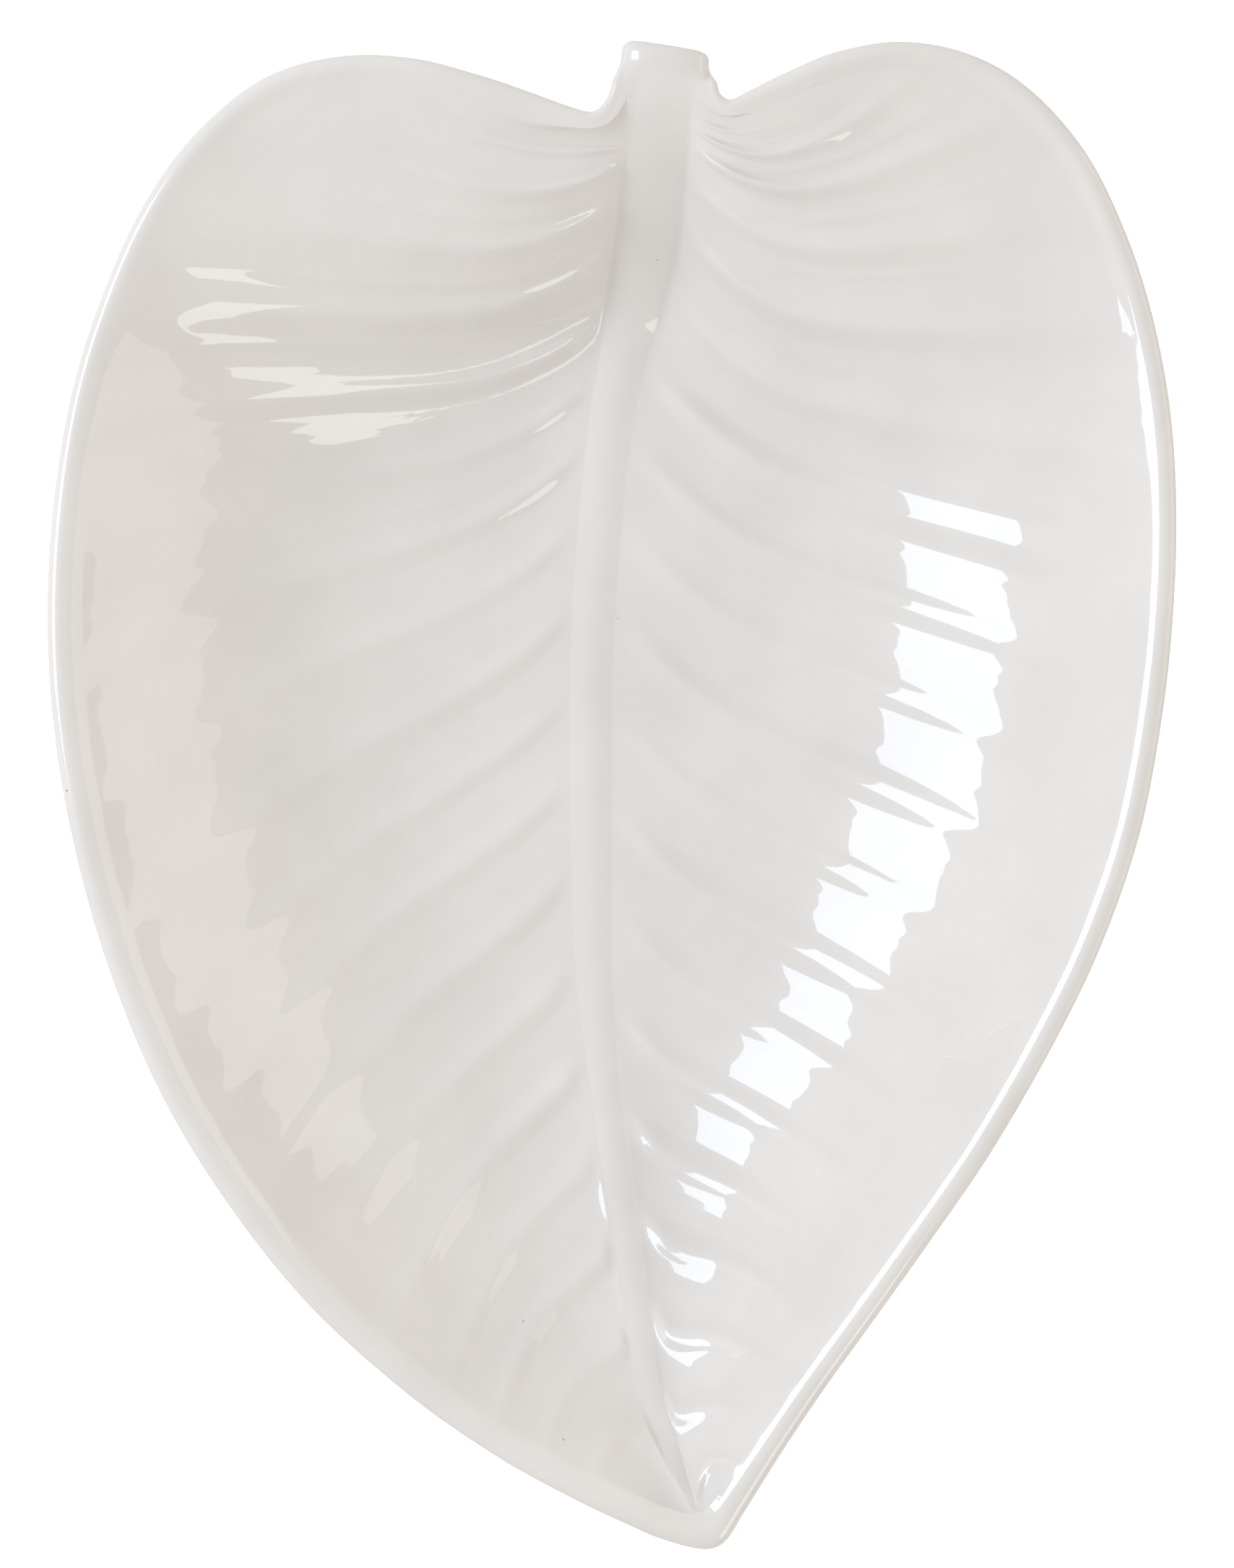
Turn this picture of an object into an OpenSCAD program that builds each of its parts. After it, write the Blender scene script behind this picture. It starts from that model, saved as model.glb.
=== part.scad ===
// A porcelain serving dish in the shape of a broad leaf with one raised midrib,
// side veins in low relief, a rounded rim, a short stalk and a foot ring.
// Plan view: the stalk points to +Y, the tip to -Y, and the dish stands on z = 0.

/* [Leaf] */
// Length from the end of the stalk to the tip
leaf_length = 300; // [260:1:340]
// Width across the two sides
leaf_width = 225; // [195:1:255]
// Height of the rim above the table, at the stalk and at the tip
leaf_height = 53; // [47:1:62]
// How much lower the rim lies half way along the sides
rim_sag = 2; // [0:0.5:4]

/* [Wall and rim] */
// Thickness of the floor
wall = 5; // [4:0.25:6.5]
// Width of the rounded rim
rim_width = 5.2; // [4.2:0.1:6.2]
// Width of the rounded rim where it runs out into the stalk
stalk_rim_width = 2.2; // [1.6:0.1:2.8]
// Width of the rounded rim at the tip
tip_rim_width = 6.3; // [5:0.1:7]
// Height of the rim's outer face
rim_depth = 5.2; // [4:0.1:6.5]
// Slope of the wall where it meets the rim, as rise over run
wall_slope = 1.25; // [1.1:0.05:1.4]

/* [Veins] */
// Height of a side vein above the wall
vein_height = 0.8; // [0.4:0.1:1.3]
// Height of the finer rib between two side veins
fine_rib_height = 0.25; // [0.1:0.05:0.5]

/* [Midrib] */
// Width of the midrib in the middle of the leaf
midrib_width = 9.4; // [7:0.2:11]
// Height of the midrib above the floor
midrib_height = 2.1; // [1.5:0.1:3.2]
// Length over which the midrib falls from the stalk to the floor
stalk_fall = 60; // [52:1:68]
// Length over which the floor climbs to the tip
tip_climb = 105; // [90:1:120]

/* [Stalk] */
// Length of the stalk beyond the blade
stalk_length = 9.5; // [7:0.5:13]
// Width of the stalk at its end
stalk_width = 17.5; // [14:0.5:20]
// Depth of the stalk at its end, from top to underside
stalk_depth = 10; // [8:0.5:12]
// How much shorter the stalk is on its right side
stalk_slant = 2.2; // [0:0.2:3]
// Rounding of the stalk's end
stalk_round = 2.4; // [0.8:0.2:3]

/* [Foot] */
// Height of the foot ring
foot_height = 5; // [3.5:0.25:7]
// Width of the foot ring's outline, across the leaf
foot_width = 70; // [56:1:76]
// Length of the foot ring's outline, along the leaf
foot_length = 122; // [100:1:130]
// Thickness of the foot ring
foot_thickness = 4.5; // [3.5:0.25:6]
// Width of the flat underside round the foot ring
seat_margin = 11; // [10:0.5:14]
// Width over which the flat underside blends into the wall
seat_fade = 20; // [16:1:26]

/* [Hidden] */

// The blade ends at a plane across the root of the stalk, and starts there with share 0
stalk_plane = leaf_length / 2 - stalk_length;
blade_length = leaf_length - stalk_length;

// Outline of the blade from the stalk round each side, in shares of the width and of the blade's length
left_outline_shares = [
    [0.002, 0], [-0.004, 0.010], [-0.016, 0.017], [-0.040, 0.012], [-0.071, 0.003],
    [-0.116, -0.009], [-0.177, -0.021], [-0.244, -0.022], [-0.311, -0.006], [-0.374, 0.035],
    [-0.420, 0.087], [-0.455, 0.149], [-0.479, 0.210], [-0.494, 0.280], [-0.500, 0.356],
    [-0.495, 0.433], [-0.478, 0.513], [-0.448, 0.597], [-0.404, 0.681], [-0.348, 0.755],
    [-0.272, 0.830], [-0.184, 0.892], [-0.103, 0.936], [-0.030, 0.967], [0.037, 0.991]
];
right_outline_shares = [
    [0.096, 0], [0.099, 0.006], [0.108, 0.009], [0.127, 0.002], [0.156, -0.009],
    [0.200, -0.023], [0.258, -0.030], [0.319, -0.021], [0.373, 0.004], [0.422, 0.048],
    [0.457, 0.104], [0.480, 0.161], [0.495, 0.225], [0.500, 0.292], [0.497, 0.362],
    [0.487, 0.433], [0.467, 0.513], [0.433, 0.589], [0.389, 0.659], [0.335, 0.731],
    [0.280, 0.793], [0.232, 0.845], [0.190, 0.890], [0.151, 0.935], [0.117, 0.977]
];
tip_outline_shares = [[0.037, 0.991], [0.066, 0.998], [0.088, 1], [0.103, 0.994], [0.117, 0.977]];
// Corner of the hollow inside the tip
tip_hollow_share = [0.080, 0.982];

// Each side vein leaves the midrib at one place and meets the rim at another
left_root_shares = [
    0, 0.010, 0.020, 0.029, 0.037, 0.046, 0.064, 0.093, 0.134, 0.180, 0.226, 0.278,
    0.338, 0.400, 0.460, 0.522, 0.589, 0.654, 0.716, 0.780, 0.844, 0.906, 0.975
];
left_rim_shares = [
    0, 0.080, 0.150, 0.208, 0.272, 0.342, 0.408, 0.460, 0.512, 0.566, 0.618, 0.666,
    0.708, 0.744, 0.777, 0.808, 0.837, 0.864, 0.890, 0.914, 0.938, 0.965, 1
];
right_root_shares = [
    0, 0.007, 0.012, 0.017, 0.023, 0.031, 0.047, 0.074, 0.110, 0.157, 0.210, 0.268,
    0.330, 0.396, 0.466, 0.536, 0.606, 0.677, 0.747, 0.817, 0.880, 0.932, 0.975
];
right_rim_shares = [
    0, 0.080, 0.150, 0.208, 0.270, 0.346, 0.411, 0.471, 0.532, 0.584, 0.625, 0.663,
    0.702, 0.740, 0.775, 0.809, 0.842, 0.874, 0.904, 0.933, 0.960, 0.982, 1
];
// Angle below straight across, at which each vein leaves the midrib and arrives at the rim
left_leave_angles = [
    0, 0, 4, 6, 8, 26, 38, 42, 42, 42, 44, 45, 45, 43, 42, 46, 47, 48, 52, 54, 58, 62, 68
];
left_arrive_angles = [
    0, -20, -36, -42, -44, -30, -10, 3, 14, 30, 40, 50, 54, 58, 61, 65, 66, 68, 72, 76, 76, 74, 70
];
right_leave_angles = [
    0, 10, 20, 32, 42, 44, 48, 53, 55, 53, 51, 49, 50, 50, 49, 48, 48, 49, 48, 48, 50, 54, 62
];
right_arrive_angles = [
    0, -30, -44, -50, -42, -16, 0, 12, 24, 30, 33, 37, 40, 43, 46, 47, 49, 52, 55, 58, 60, 64, 70
];
// How far a vein's crest lies beyond its line, from the midrib to the rim, as a share of the gap
left_crest_shares = [0.28, 0.11, -0.09, -0.14, -0.10];
right_crest_shares = [0.44, 0.37, 0.11, -0.07, -0.15];
// Sideways place of the midrib, at even steps from the stalk to the tip
midrib_bend_shares = [0.050, 0.028, -0.003, -0.018, -0.025, -0.025, -0.023, -0.010, 0.011, 0.035, 0.088];
// Width of the midrib at the same places, as a share of its width in the middle
midrib_width_shares = [1.22, 1.36, 1.07, 1.02, 1.00, 0.97, 0.85, 0.69, 0.60, 0.44, 0.20];
// How far each line of the rounded rim lies in from the outline, and below the top
rim_inset_shares = [1, 0.5, 0.2, 0.04, 0, 0.05, 0.45];
rim_drop_shares = [0.25, 0, 0.07, 0.23, 0.5, 1, 1.25];

// Counts of the grid that follows the veins
vein_count = len(left_root_shares) - 1;
first_vein = 3;
rows_per_vein = 5;
row_count = vein_count * rows_per_vein;
side_steps = 12;
coarse_rows = 2;
column_count = 2 * side_steps + 1;
crest_steps = 6;
midrib_rows = row_count - coarse_rows;
// Bounds of the power that shapes the wall from the midrib to the rim
least_bend = 1.3;
most_bend = 3;
// Shares by which a slope is thicker when it is measured upright: the wall, and the fall from the stalk
upright_share = 0.45;
fall_upright_share = 0.6;
// Power that puts the steepest place of the fall nearer to the stalk
fall_lie = 0.6;
// Length of a vein's tangents, as a share of the distance that it spans
tangent_share = 0.36;
// Share of a vein near the midrib over which its relief grows, and the power by which it fades to the rim
relief_start_share = 0.08;
relief_fade = 1.1;
// Number of the strongest vein, its strength, and how many veins off the strength is back to 1
strong_vein = 6.5;
strong_vein_share = 2.4;
strong_vein_reach = 5;
// Share of the rim over which it widens from the stalk, and share of its inner drop that is left there
stalk_widening_share = 0.12;
stalk_drop_share = 0.15;
// Power by which the rim widens towards the tip
tip_widening = 8;
// Power by which the floor climbs to the tip, and power that runs the fall from the stalk out into the floor
tip_power = 1.6;
fall_power = 1.8;
// Power that rounds the midrib's back; lower is fuller
crest_power = 0.8;
// Share of its height that the midrib has at the stalk, and the share of the blade over which it rises
root_height_share = 0.15;
root_rise_share = 0.08;
// Share of its height that the midrib keeps at its end
midrib_end_share = 0.15;
// Step along the outline between the two points that give its direction
outline_step_share = 0.004;

// Smooth curve through all rows of a table, with t counted in rows
function spline(table, t) =
    let (
        n = len(table) - 1,
        i = min(floor(t), n - 1),
        f = t - i,
        b = table[i],
        c = table[i + 1],
        a = i > 0 ? table[i - 1] : 2 * b - c,
        d = i < n - 1 ? table[i + 2] : 2 * c - b
    )
    (2 * b + (c - a) * f + (2 * a - 5 * b + 4 * c - d) * f * f + (3 * b - a - 3 * c + d) * f * f * f) / 2;

function along(table, share) = spline(table, share * (len(table) - 1));
function blend(a, b, f) = a + (b - a) * f;
function unit(v) = v / norm(v);
function clamp(x, low, high) = max(low, min(high, x));
function plan(share) = [share[0] * leaf_width, stalk_plane - share[1] * blade_length];

// Side 0 is the left one and side 1 the right one
outlines = [left_outline_shares, right_outline_shares];
roots = [left_root_shares, right_root_shares];
rims = [left_rim_shares, right_rim_shares];
leaves = [left_leave_angles, right_leave_angles];
arrivals = [left_arrive_angles, right_arrive_angles];
crests = [left_crest_shares, right_crest_shares];
outward = [-1, 1];

// The midrib's own line, width and heights at a share of the blade's length
function midrib_centre(s) = plan([along(midrib_bend_shares, s), s]);
function midrib_half(s) = midrib_width * along(midrib_width_shares, s) / 2;
floor_top = foot_height + wall;
rim_inner_top = leaf_height - rim_depth * rim_drop_shares[0];
root_top = leaf_height - midrib_height * root_height_share;
function smooth(x) = x * x * (3 - 2 * x);
function floor_line(s) =
    let (
        stalk_share = clamp(1 - s * blade_length / stalk_fall, 0, 1),
        tip_share = clamp(1 - (1 - s) * blade_length / tip_climb, 0, 1)
    )
    floor_top + (root_top - floor_top) * pow(smooth(stalk_share), fall_power)
        + (rim_inner_top - floor_top) * pow(tip_share, tip_power);

// Heights and widths of the rim along the leaf, with g from 0 at the stalk to 1 at the tip
function rim_lowering(g) = rim_sag * pow(sin(180 * g), 2);
function stalk_widening(g) = smooth(clamp(g / stalk_widening_share, 0, 1));
function rim_inner_drop(g) = rim_depth * rim_drop_shares[0] * blend(stalk_drop_share, 1, stalk_widening(g));
function rim_width_at(g) =
    blend(stalk_rim_width, rim_width, stalk_widening(g))
        + (tip_rim_width - rim_width) * pow(g, tip_widening);

// Outer and inner line of the rim at a place on the outline
function rim_outer(side, place) = plan(along(outlines[side], place));
function rim_inward(side, place) =
    place == 0 ? [-outward[side], 0] :
    let (
        back = rim_outer(side, max(0, place - outline_step_share)),
        ahead = rim_outer(side, min(1, place + outline_step_share)),
        run = unit(ahead - back)
    )
    outward[side] * [run[1], -run[0]];
function rim_inner(side, place, g) = rim_outer(side, place) + rim_width_at(g) * rim_inward(side, place);

// One row of the grid: a curve from the rim (first point) to the edge of the midrib (last point).
// Each point holds its place without the veins, its share from the midrib to the rim, its share of the
// blade's length, and the height of the veins there.
function vein_bearing(side, angle) = [outward[side] * cos(angle), -sin(angle)];
function vein_point(a, b, c, d, v) =
    blend(blend(blend(a, b, v), blend(b, c, v), v), blend(blend(b, c, v), blend(c, d, v), v), v);
function vein_relief(side, u, v) =
    u < first_vein ? 0 :
    let (
        wave = cos(360 * (u - along(crests[side], v))),
        strong_share = clamp(1 - abs(u - strong_vein) / strong_vein_reach, 0, 1)
    )
    (vein_height * pow(0.5 + 0.5 * wave, 2) + fine_rib_height * pow(0.5 - 0.5 * wave, 2))
        * blend(1, strong_vein_share, strong_share)
        * smooth(clamp(v / relief_start_share, 0, 1)) * pow(1 - v, relief_fade)
        * smooth(clamp(u - first_vein, 0, 1)) * clamp(vein_count - u, 0, 1);
function wall_bend(span, rise) =
    clamp(wall_slope * span / max(rise, wall / most_bend), least_bend, most_bend);

function side_row(side, i) =
    let (
        u = i / rows_per_vein,
        g = i / row_count,
        place = along(rims[side], g),
        s = along(roots[side], g),
        reach = outward[side] * [midrib_half(s), 0],
        tip_f = side == 0 ? 0 : 1,
        start = i == row_count ? tip_inner(tip_seam(side)) : midrib_centre(s) + reach,
        end = i == row_count ? tip_inner(tip_f) : rim_inner(side, place, g),
        low = i == row_count ? rim_inner_top : floor_line(s),
        high = leaf_height - rim_inner_drop(g) - rim_lowering(g),
        span = norm(end - start),
        pull = tangent_share * span,
        b = i == 0 || i == row_count ? blend(start, end, tangent_share)
            : start + pull * vein_bearing(side, along(leaves[side], g)),
        c = i == 0 || i == row_count ? blend(end, start, tangent_share)
            : end - pull * vein_bearing(side, along(arrivals[side], g)),
        bend = wall_bend(span, high - low)
    )
    [
        for (j = [0:side_steps])
            let (
                v = 1 - j / side_steps,
                p = i == row_count
                    ? tip_inner(blend(tip_f, tip_seam(side), j / side_steps))
                    : vein_point(start, b, c, end, v),
                z = low + (high - low) * pow(v, bend)
            )
            [p[0], p[1], z, v, s, vein_relief(side, u, v)]
    ];

// Inner line round the tip, from the left side (f = 0) to the right side (f = 1)
function tip_inner(f) =
    let (
        a = rim_inner(0, 1, 1),
        b = plan(tip_hollow_share),
        c = rim_inner(1, 1, 1)
    )
    blend(blend(a, b, f), blend(b, c, f), f);

// Where the strip under the midrib meets that line, half a column from its middle on each side
function tip_seam(side) = (1 + outward[side] / column_count) / 2;

left_rows = [for (i = [0:row_count]) side_row(0, i)];
right_rows = [for (i = [0:row_count]) side_row(1, i)];

// Row of the whole leaf from the left rim to the right rim
function leaf_row(i) =
    concat(left_rows[i], [for (j = [side_steps:-1:0]) right_rows[i][j]]);
leaf_rows = [for (i = [0:row_count]) leaf_row(i)];

function top_point(q) = [q[0], q[1], q[2] + q[5]];

// The foot ring has an egg-shaped outline, broad towards the stalk
foot_centre = plan([-0.033, 0.44]);
foot_taper_share = 0.2;
function foot_point(turn, inset) =
    [
        (foot_width / 2 - inset) * cos(turn) * (1 + foot_taper_share * sin(turn)),
        (foot_length / 2 - inset) * sin(turn)
    ];
// How far a point of the plan lies outside the foot ring
function foot_distance(p) =
    let (d = p - foot_centre, turn = atan2(d[1] / foot_length, d[0] / foot_width))
    norm(d) - norm(foot_point(turn, 0));
// The underside is flat round the foot, and further out it follows the wall
function under_point(q) =
    let (
        outward_share = q[3] * q[3],
        fall = pow(clamp(q[4] * blade_length / stalk_fall, 0, 1), fall_lie),
        steepness = 4 * fall * (1 - fall) * (1 - outward_share),
        free = q[2] - wall * (1 + upright_share * outward_share + fall_upright_share * steepness),
        share = clamp((foot_distance([q[0], q[1]]) - seat_margin) / seat_fade, 0, 1)
    )
    [q[0], q[1], foot_height + max(0, free - foot_height) * smooth(share)];

// The rim runs from the stalk round the tip and back: outer point, inner point and lowering
rim_line = concat(
    [
        for (i = [0:row_count])
            let (g = i / row_count, place = along(rims[0], g))
            [rim_outer(0, place), left_rows[i][0], rim_lowering(g)]
    ],
    [
        for (j = [1:column_count - 1])
            [plan(along(tip_outline_shares, j / column_count)), leaf_rows[row_count][j], 0]
    ],
    [
        for (i = [row_count:-1:0])
            let (g = i / row_count, place = along(rims[1], g))
            [rim_outer(1, place), right_rows[i][0], rim_lowering(g)]
    ]
);
rim_last = len(rim_line) - 1;
rim_lines = len(rim_inset_shares) - 1;
function rim_point(p, k) =
    let (
        outer = rim_line[p][0],
        inner = [rim_line[p][1][0], rim_line[p][1][1]],
        place = blend(outer, inner, rim_inset_shares[k])
    )
    [place[0], place[1], leaf_height - rim_line[p][2] - rim_depth * rim_drop_shares[k]];

// The underside has every second row only
under_rows = [for (i = [0:coarse_rows:row_count]) i];
under_row_last = len(under_rows) - 1;

// Numbers of the points in the blade's list
top_size = (row_count + 1) * (column_count + 1);
line_size = rim_last + 1;
function top_number(i, j) = i * (column_count + 1) + j;
function line_number(p, k) =
    k > 0 ? top_size + (k - 1) * line_size + p :
    p <= row_count ? top_number(p, 0) :
    p < row_count + column_count ? top_number(row_count, p - row_count) :
    top_number(row_count - (p - row_count - column_count), column_count);
under_start = top_size + rim_lines * line_size;
function under_number(a, j) = under_start + a * (column_count + 1) + j;

// The underside's own edge, as pairs of a place on the rim line and a point number
under_edge = concat(
    [for (a = [0:under_row_last]) [under_rows[a], under_number(a, 0)]],
    [for (j = [1:column_count - 1]) [row_count + j, under_number(under_row_last, j)]],
    [
        for (a = [under_row_last:-1:0])
            [2 * row_count + column_count - under_rows[a], under_number(a, column_count)]
    ]
);

blade_points = concat(
    [for (row = leaf_rows) for (q = row) top_point(q)],
    [for (k = [1:rim_lines]) for (p = [0:rim_last]) rim_point(p, k)],
    [for (i = under_rows) for (q = leaf_rows[i]) under_point(q)]
);

blade_faces = concat(
    [
        for (i = [0:row_count - 1])
            for (j = [0:column_count - 1])
                for (face = [
                    [top_number(i, j), top_number(i, j + 1), top_number(i + 1, j + 1)],
                    [top_number(i, j), top_number(i + 1, j + 1), top_number(i + 1, j)]
                ])
                    face
    ],
    [
        for (k = [0:rim_lines - 1])
            for (p = [0:rim_last - 1])
                for (face = [
                    [line_number(p, k), line_number(p + 1, k), line_number(p + 1, k + 1)],
                    [line_number(p, k), line_number(p + 1, k + 1), line_number(p, k + 1)]
                ])
                    face
    ],
    [
        for (e = [0:len(under_edge) - 2])
            for (p = [under_edge[e][0]:under_edge[e + 1][0] - 1])
                [line_number(p, rim_lines), line_number(p + 1, rim_lines), under_edge[e][1]]
    ],
    [
        for (e = [0:len(under_edge) - 2])
            [line_number(under_edge[e + 1][0], rim_lines), under_edge[e + 1][1], under_edge[e][1]]
    ],
    [
        for (a = [0:under_row_last - 1])
            for (j = [0:column_count - 1])
                for (face = [
                    [under_number(a, j), under_number(a + 1, j + 1), under_number(a, j + 1)],
                    [under_number(a, j), under_number(a + 1, j), under_number(a + 1, j + 1)]
                ])
                    face
    ],
    [
        concat(
            [for (j = [column_count:-1:0]) top_number(0, j)],
            [for (k = [1:rim_lines]) line_number(0, k)],
            [for (j = [0:column_count]) under_number(0, j)],
            [for (k = [rim_lines:-1:1]) line_number(rim_last, k)]
        )
    ]
);

module leaf_blade() {
    color([0.91, 0.90, 0.88])
        polyhedron(points = blade_points, faces = blade_faces);
}

// The midrib stands on the strip of the blade between its two edges
function crest_height(i) =
    midrib_height * blend(1, midrib_end_share, pow(i / midrib_rows, tip_widening))
        * blend(root_height_share, 1, smooth(clamp(left_rows[i][0][4] / root_rise_share, 0, 1)));
function crest_line(i) =
    let (
        a = top_point(left_rows[i][side_steps]),
        b = top_point(right_rows[i][side_steps])
    )
    [
        for (k = [0:crest_steps])
            let (
                f = k / crest_steps,
                lift = k == 0 || k == crest_steps ? 0 : crest_height(i) * pow(sin(180 * f), crest_power)
            )
            blend(a, b, f) + [0, 0, lift]
    ];
crest_size = crest_steps + 1;
midrib_points = [for (i = [0:midrib_rows]) for (q = crest_line(i)) q];
midrib_faces = concat(
    [
        for (i = [0:midrib_rows - 1])
            for (k = [0:crest_steps - 1])
                for (face = [
                    [i * crest_size + k, i * crest_size + k + 1, (i + 1) * crest_size + k + 1],
                    [i * crest_size + k, (i + 1) * crest_size + k + 1, (i + 1) * crest_size + k]
                ])
                    face
    ],
    [
        for (i = [0:midrib_rows - 1])
            for (face = [
                [i * crest_size, (i + 1) * crest_size + crest_steps, i * crest_size + crest_steps],
                [i * crest_size, (i + 1) * crest_size, (i + 1) * crest_size + crest_steps]
            ])
                face
    ],
    [[for (k = [crest_steps:-1:0]) k]],
    [[for (k = [0:crest_steps]) midrib_rows * crest_size + k]]
);

module midrib() {
    color([0.93, 0.92, 0.90])
        polyhedron(points = midrib_points, faces = midrib_faces);
}

// The stalk starts with the joint outline of the blade's end and the midrib's end
section_step = 3;
under_step = 5;
root_section = concat(
    [for (k = [rim_lines:-1:1]) rim_point(0, k)],
    [for (j = [0:section_step:side_steps]) top_point(left_rows[0][j])],
    [for (k = [1:crest_steps - 1]) crest_line(0)[k]],
    [for (j = [side_steps:-section_step:0]) top_point(right_rows[0][j])],
    [for (k = [1:rim_lines]) rim_point(rim_last, k)],
    [for (j = [column_count:-under_step:0]) under_point(leaf_rows[0][j])]
);
section_size = len(root_section);
stalk_centre_x = (rim_outer(0, 0)[0] + rim_outer(1, 0)[0]) / 2;
stalk_centre_z = leaf_height - stalk_depth / 2;
// Power of the rounded rectangle at the stalk's end
end_power = 3.4;
// Turn of a point of the section, clockwise from straight up, going round from the first point
function section_turn(m) =
    let (q = root_section[m], turn = atan2(q[0] - stalk_centre_x, q[2] - stalk_centre_z))
    m > section_size / 2 && turn < 0 ? turn + 360 : turn;
// At the end the points lie half way between their own turn and an even spacing
even_share = 0.5;
function end_point(m) =
    let (
        turn = blend(section_turn(m), section_turn(0) + 360 * m / section_size, even_share),
        a = sin(turn) / stalk_width * 2,
        b = cos(turn) / stalk_depth * 2,
        size = pow(pow(abs(a), end_power) + pow(abs(b), end_power), 1 / end_power)
    )
    [stalk_centre_x + sin(turn) / size, stalk_centre_z + cos(turn) / size];
end_points = [for (m = [0:section_size - 1]) end_point(m)];
// Each ring of the stalk: share of the straight length, share of the end's shape, share of the rounding
stalk_rings = [
    [0, 0, 0], [0.12, 0.14, 0], [0.28, 0.4, 0], [0.46, 0.68, 0], [0.66, 0.88, 0], [0.85, 0.97, 0], [1, 1, 0],
    [1, 1, 0.45], [1, 1, 0.8], [1, 1, 1]
];
function ring_point(m, ring) =
    let (
        q = root_section[m],
        p = blend([q[0], q[2]], end_points[m], ring[1]),
        inset = stalk_round * (1 - sqrt(1 - ring[2] * ring[2])),
        scale_x = 1 - 2 * inset / stalk_width,
        scale_z = 1 - 2 * inset / stalk_depth,
        across = (p[0] - stalk_centre_x) / stalk_width + 0.5,
        reach = (stalk_length - stalk_round) * ring[0] + stalk_round * ring[2]
    )
    [
        blend(stalk_centre_x, p[0], scale_x),
        stalk_plane + reach - stalk_slant * clamp(across, 0, 1) * reach / stalk_length,
        blend(stalk_centre_z, p[1], scale_z)
    ];
stalk_points = [for (ring = stalk_rings) for (m = [0:section_size - 1]) ring_point(m, ring)];
stalk_last = len(stalk_rings) - 1;
stalk_faces = concat(
    [
        for (r = [0:stalk_last - 1])
            for (m = [0:section_size - 1])
                let (n = (m + 1) % section_size)
                for (face = [
                    [r * section_size + m, (r + 1) * section_size + n, r * section_size + n],
                    [r * section_size + m, (r + 1) * section_size + m, (r + 1) * section_size + n]
                ])
                    face
    ],
    [[for (m = [0:section_size - 1]) m]],
    [[for (m = [section_size - 1:-1:0]) stalk_last * section_size + m]]
);

module stalk() {
    color([0.92, 0.91, 0.89])
        polyhedron(points = stalk_points, faces = stalk_faces);
}

foot_sides = 96;
function foot_outline(inset) = [for (n = [0:foot_sides - 1]) foot_point(360 * n / foot_sides, inset)];

module foot_ring() {
    color([0.88, 0.86, 0.82])
        translate(foot_centre)
            linear_extrude(foot_height)
                difference() {
                    polygon(foot_outline(0));
                    polygon(foot_outline(foot_thickness));
                }
}

leaf_blade();
midrib();
stalk();
foot_ring();
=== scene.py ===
"""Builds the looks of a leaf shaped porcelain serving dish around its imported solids."""

import math

import bpy
import numpy as np
from mathutils import Matrix, Vector


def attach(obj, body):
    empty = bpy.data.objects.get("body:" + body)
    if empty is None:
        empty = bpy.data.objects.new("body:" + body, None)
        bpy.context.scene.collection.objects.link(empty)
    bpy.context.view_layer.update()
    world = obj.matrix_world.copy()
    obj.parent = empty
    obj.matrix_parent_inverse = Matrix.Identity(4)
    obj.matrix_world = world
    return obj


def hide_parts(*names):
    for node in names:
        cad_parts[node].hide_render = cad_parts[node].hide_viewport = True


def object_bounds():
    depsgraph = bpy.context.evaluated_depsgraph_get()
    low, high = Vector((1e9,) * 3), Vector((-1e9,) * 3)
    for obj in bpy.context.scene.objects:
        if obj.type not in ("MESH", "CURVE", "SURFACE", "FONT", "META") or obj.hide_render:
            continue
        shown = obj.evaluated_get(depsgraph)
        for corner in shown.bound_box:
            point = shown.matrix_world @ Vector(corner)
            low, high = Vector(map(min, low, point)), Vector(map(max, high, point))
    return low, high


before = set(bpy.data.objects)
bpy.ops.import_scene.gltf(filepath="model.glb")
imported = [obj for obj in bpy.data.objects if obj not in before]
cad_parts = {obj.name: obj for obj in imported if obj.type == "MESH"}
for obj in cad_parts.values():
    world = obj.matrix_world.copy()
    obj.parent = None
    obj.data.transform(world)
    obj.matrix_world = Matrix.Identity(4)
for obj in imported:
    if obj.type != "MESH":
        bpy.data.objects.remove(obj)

bl_info = {
    "name": "Leaf Serving Dish",
    "version": (1, 0, 0),
    "blender": (4, 5, 0),
    "location": "View3D > Sidebar > Leaf Dish",
    "description": "Models a glazed porcelain leaf dish with its midrib, veins, stalk and foot ring",
    "category": "Add Mesh",
}


def srgb(text):
    """Turns a colour written as sRGB hex into linear red, green and blue."""
    shares = [int(text[i:i + 2], 16) / 255 for i in (1, 3, 5)]
    return tuple(c / 12.92 if c <= 0.04045 else ((c + 0.055) / 1.055) ** 2.4 for c in shares)


CAD_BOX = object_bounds()
MM = 0.001

# Numbers of the two sides in each pair of tables, and which way along x each side lies
LEFT, RIGHT = 0, 1
OUTWARD = (-1, 1)

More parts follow.
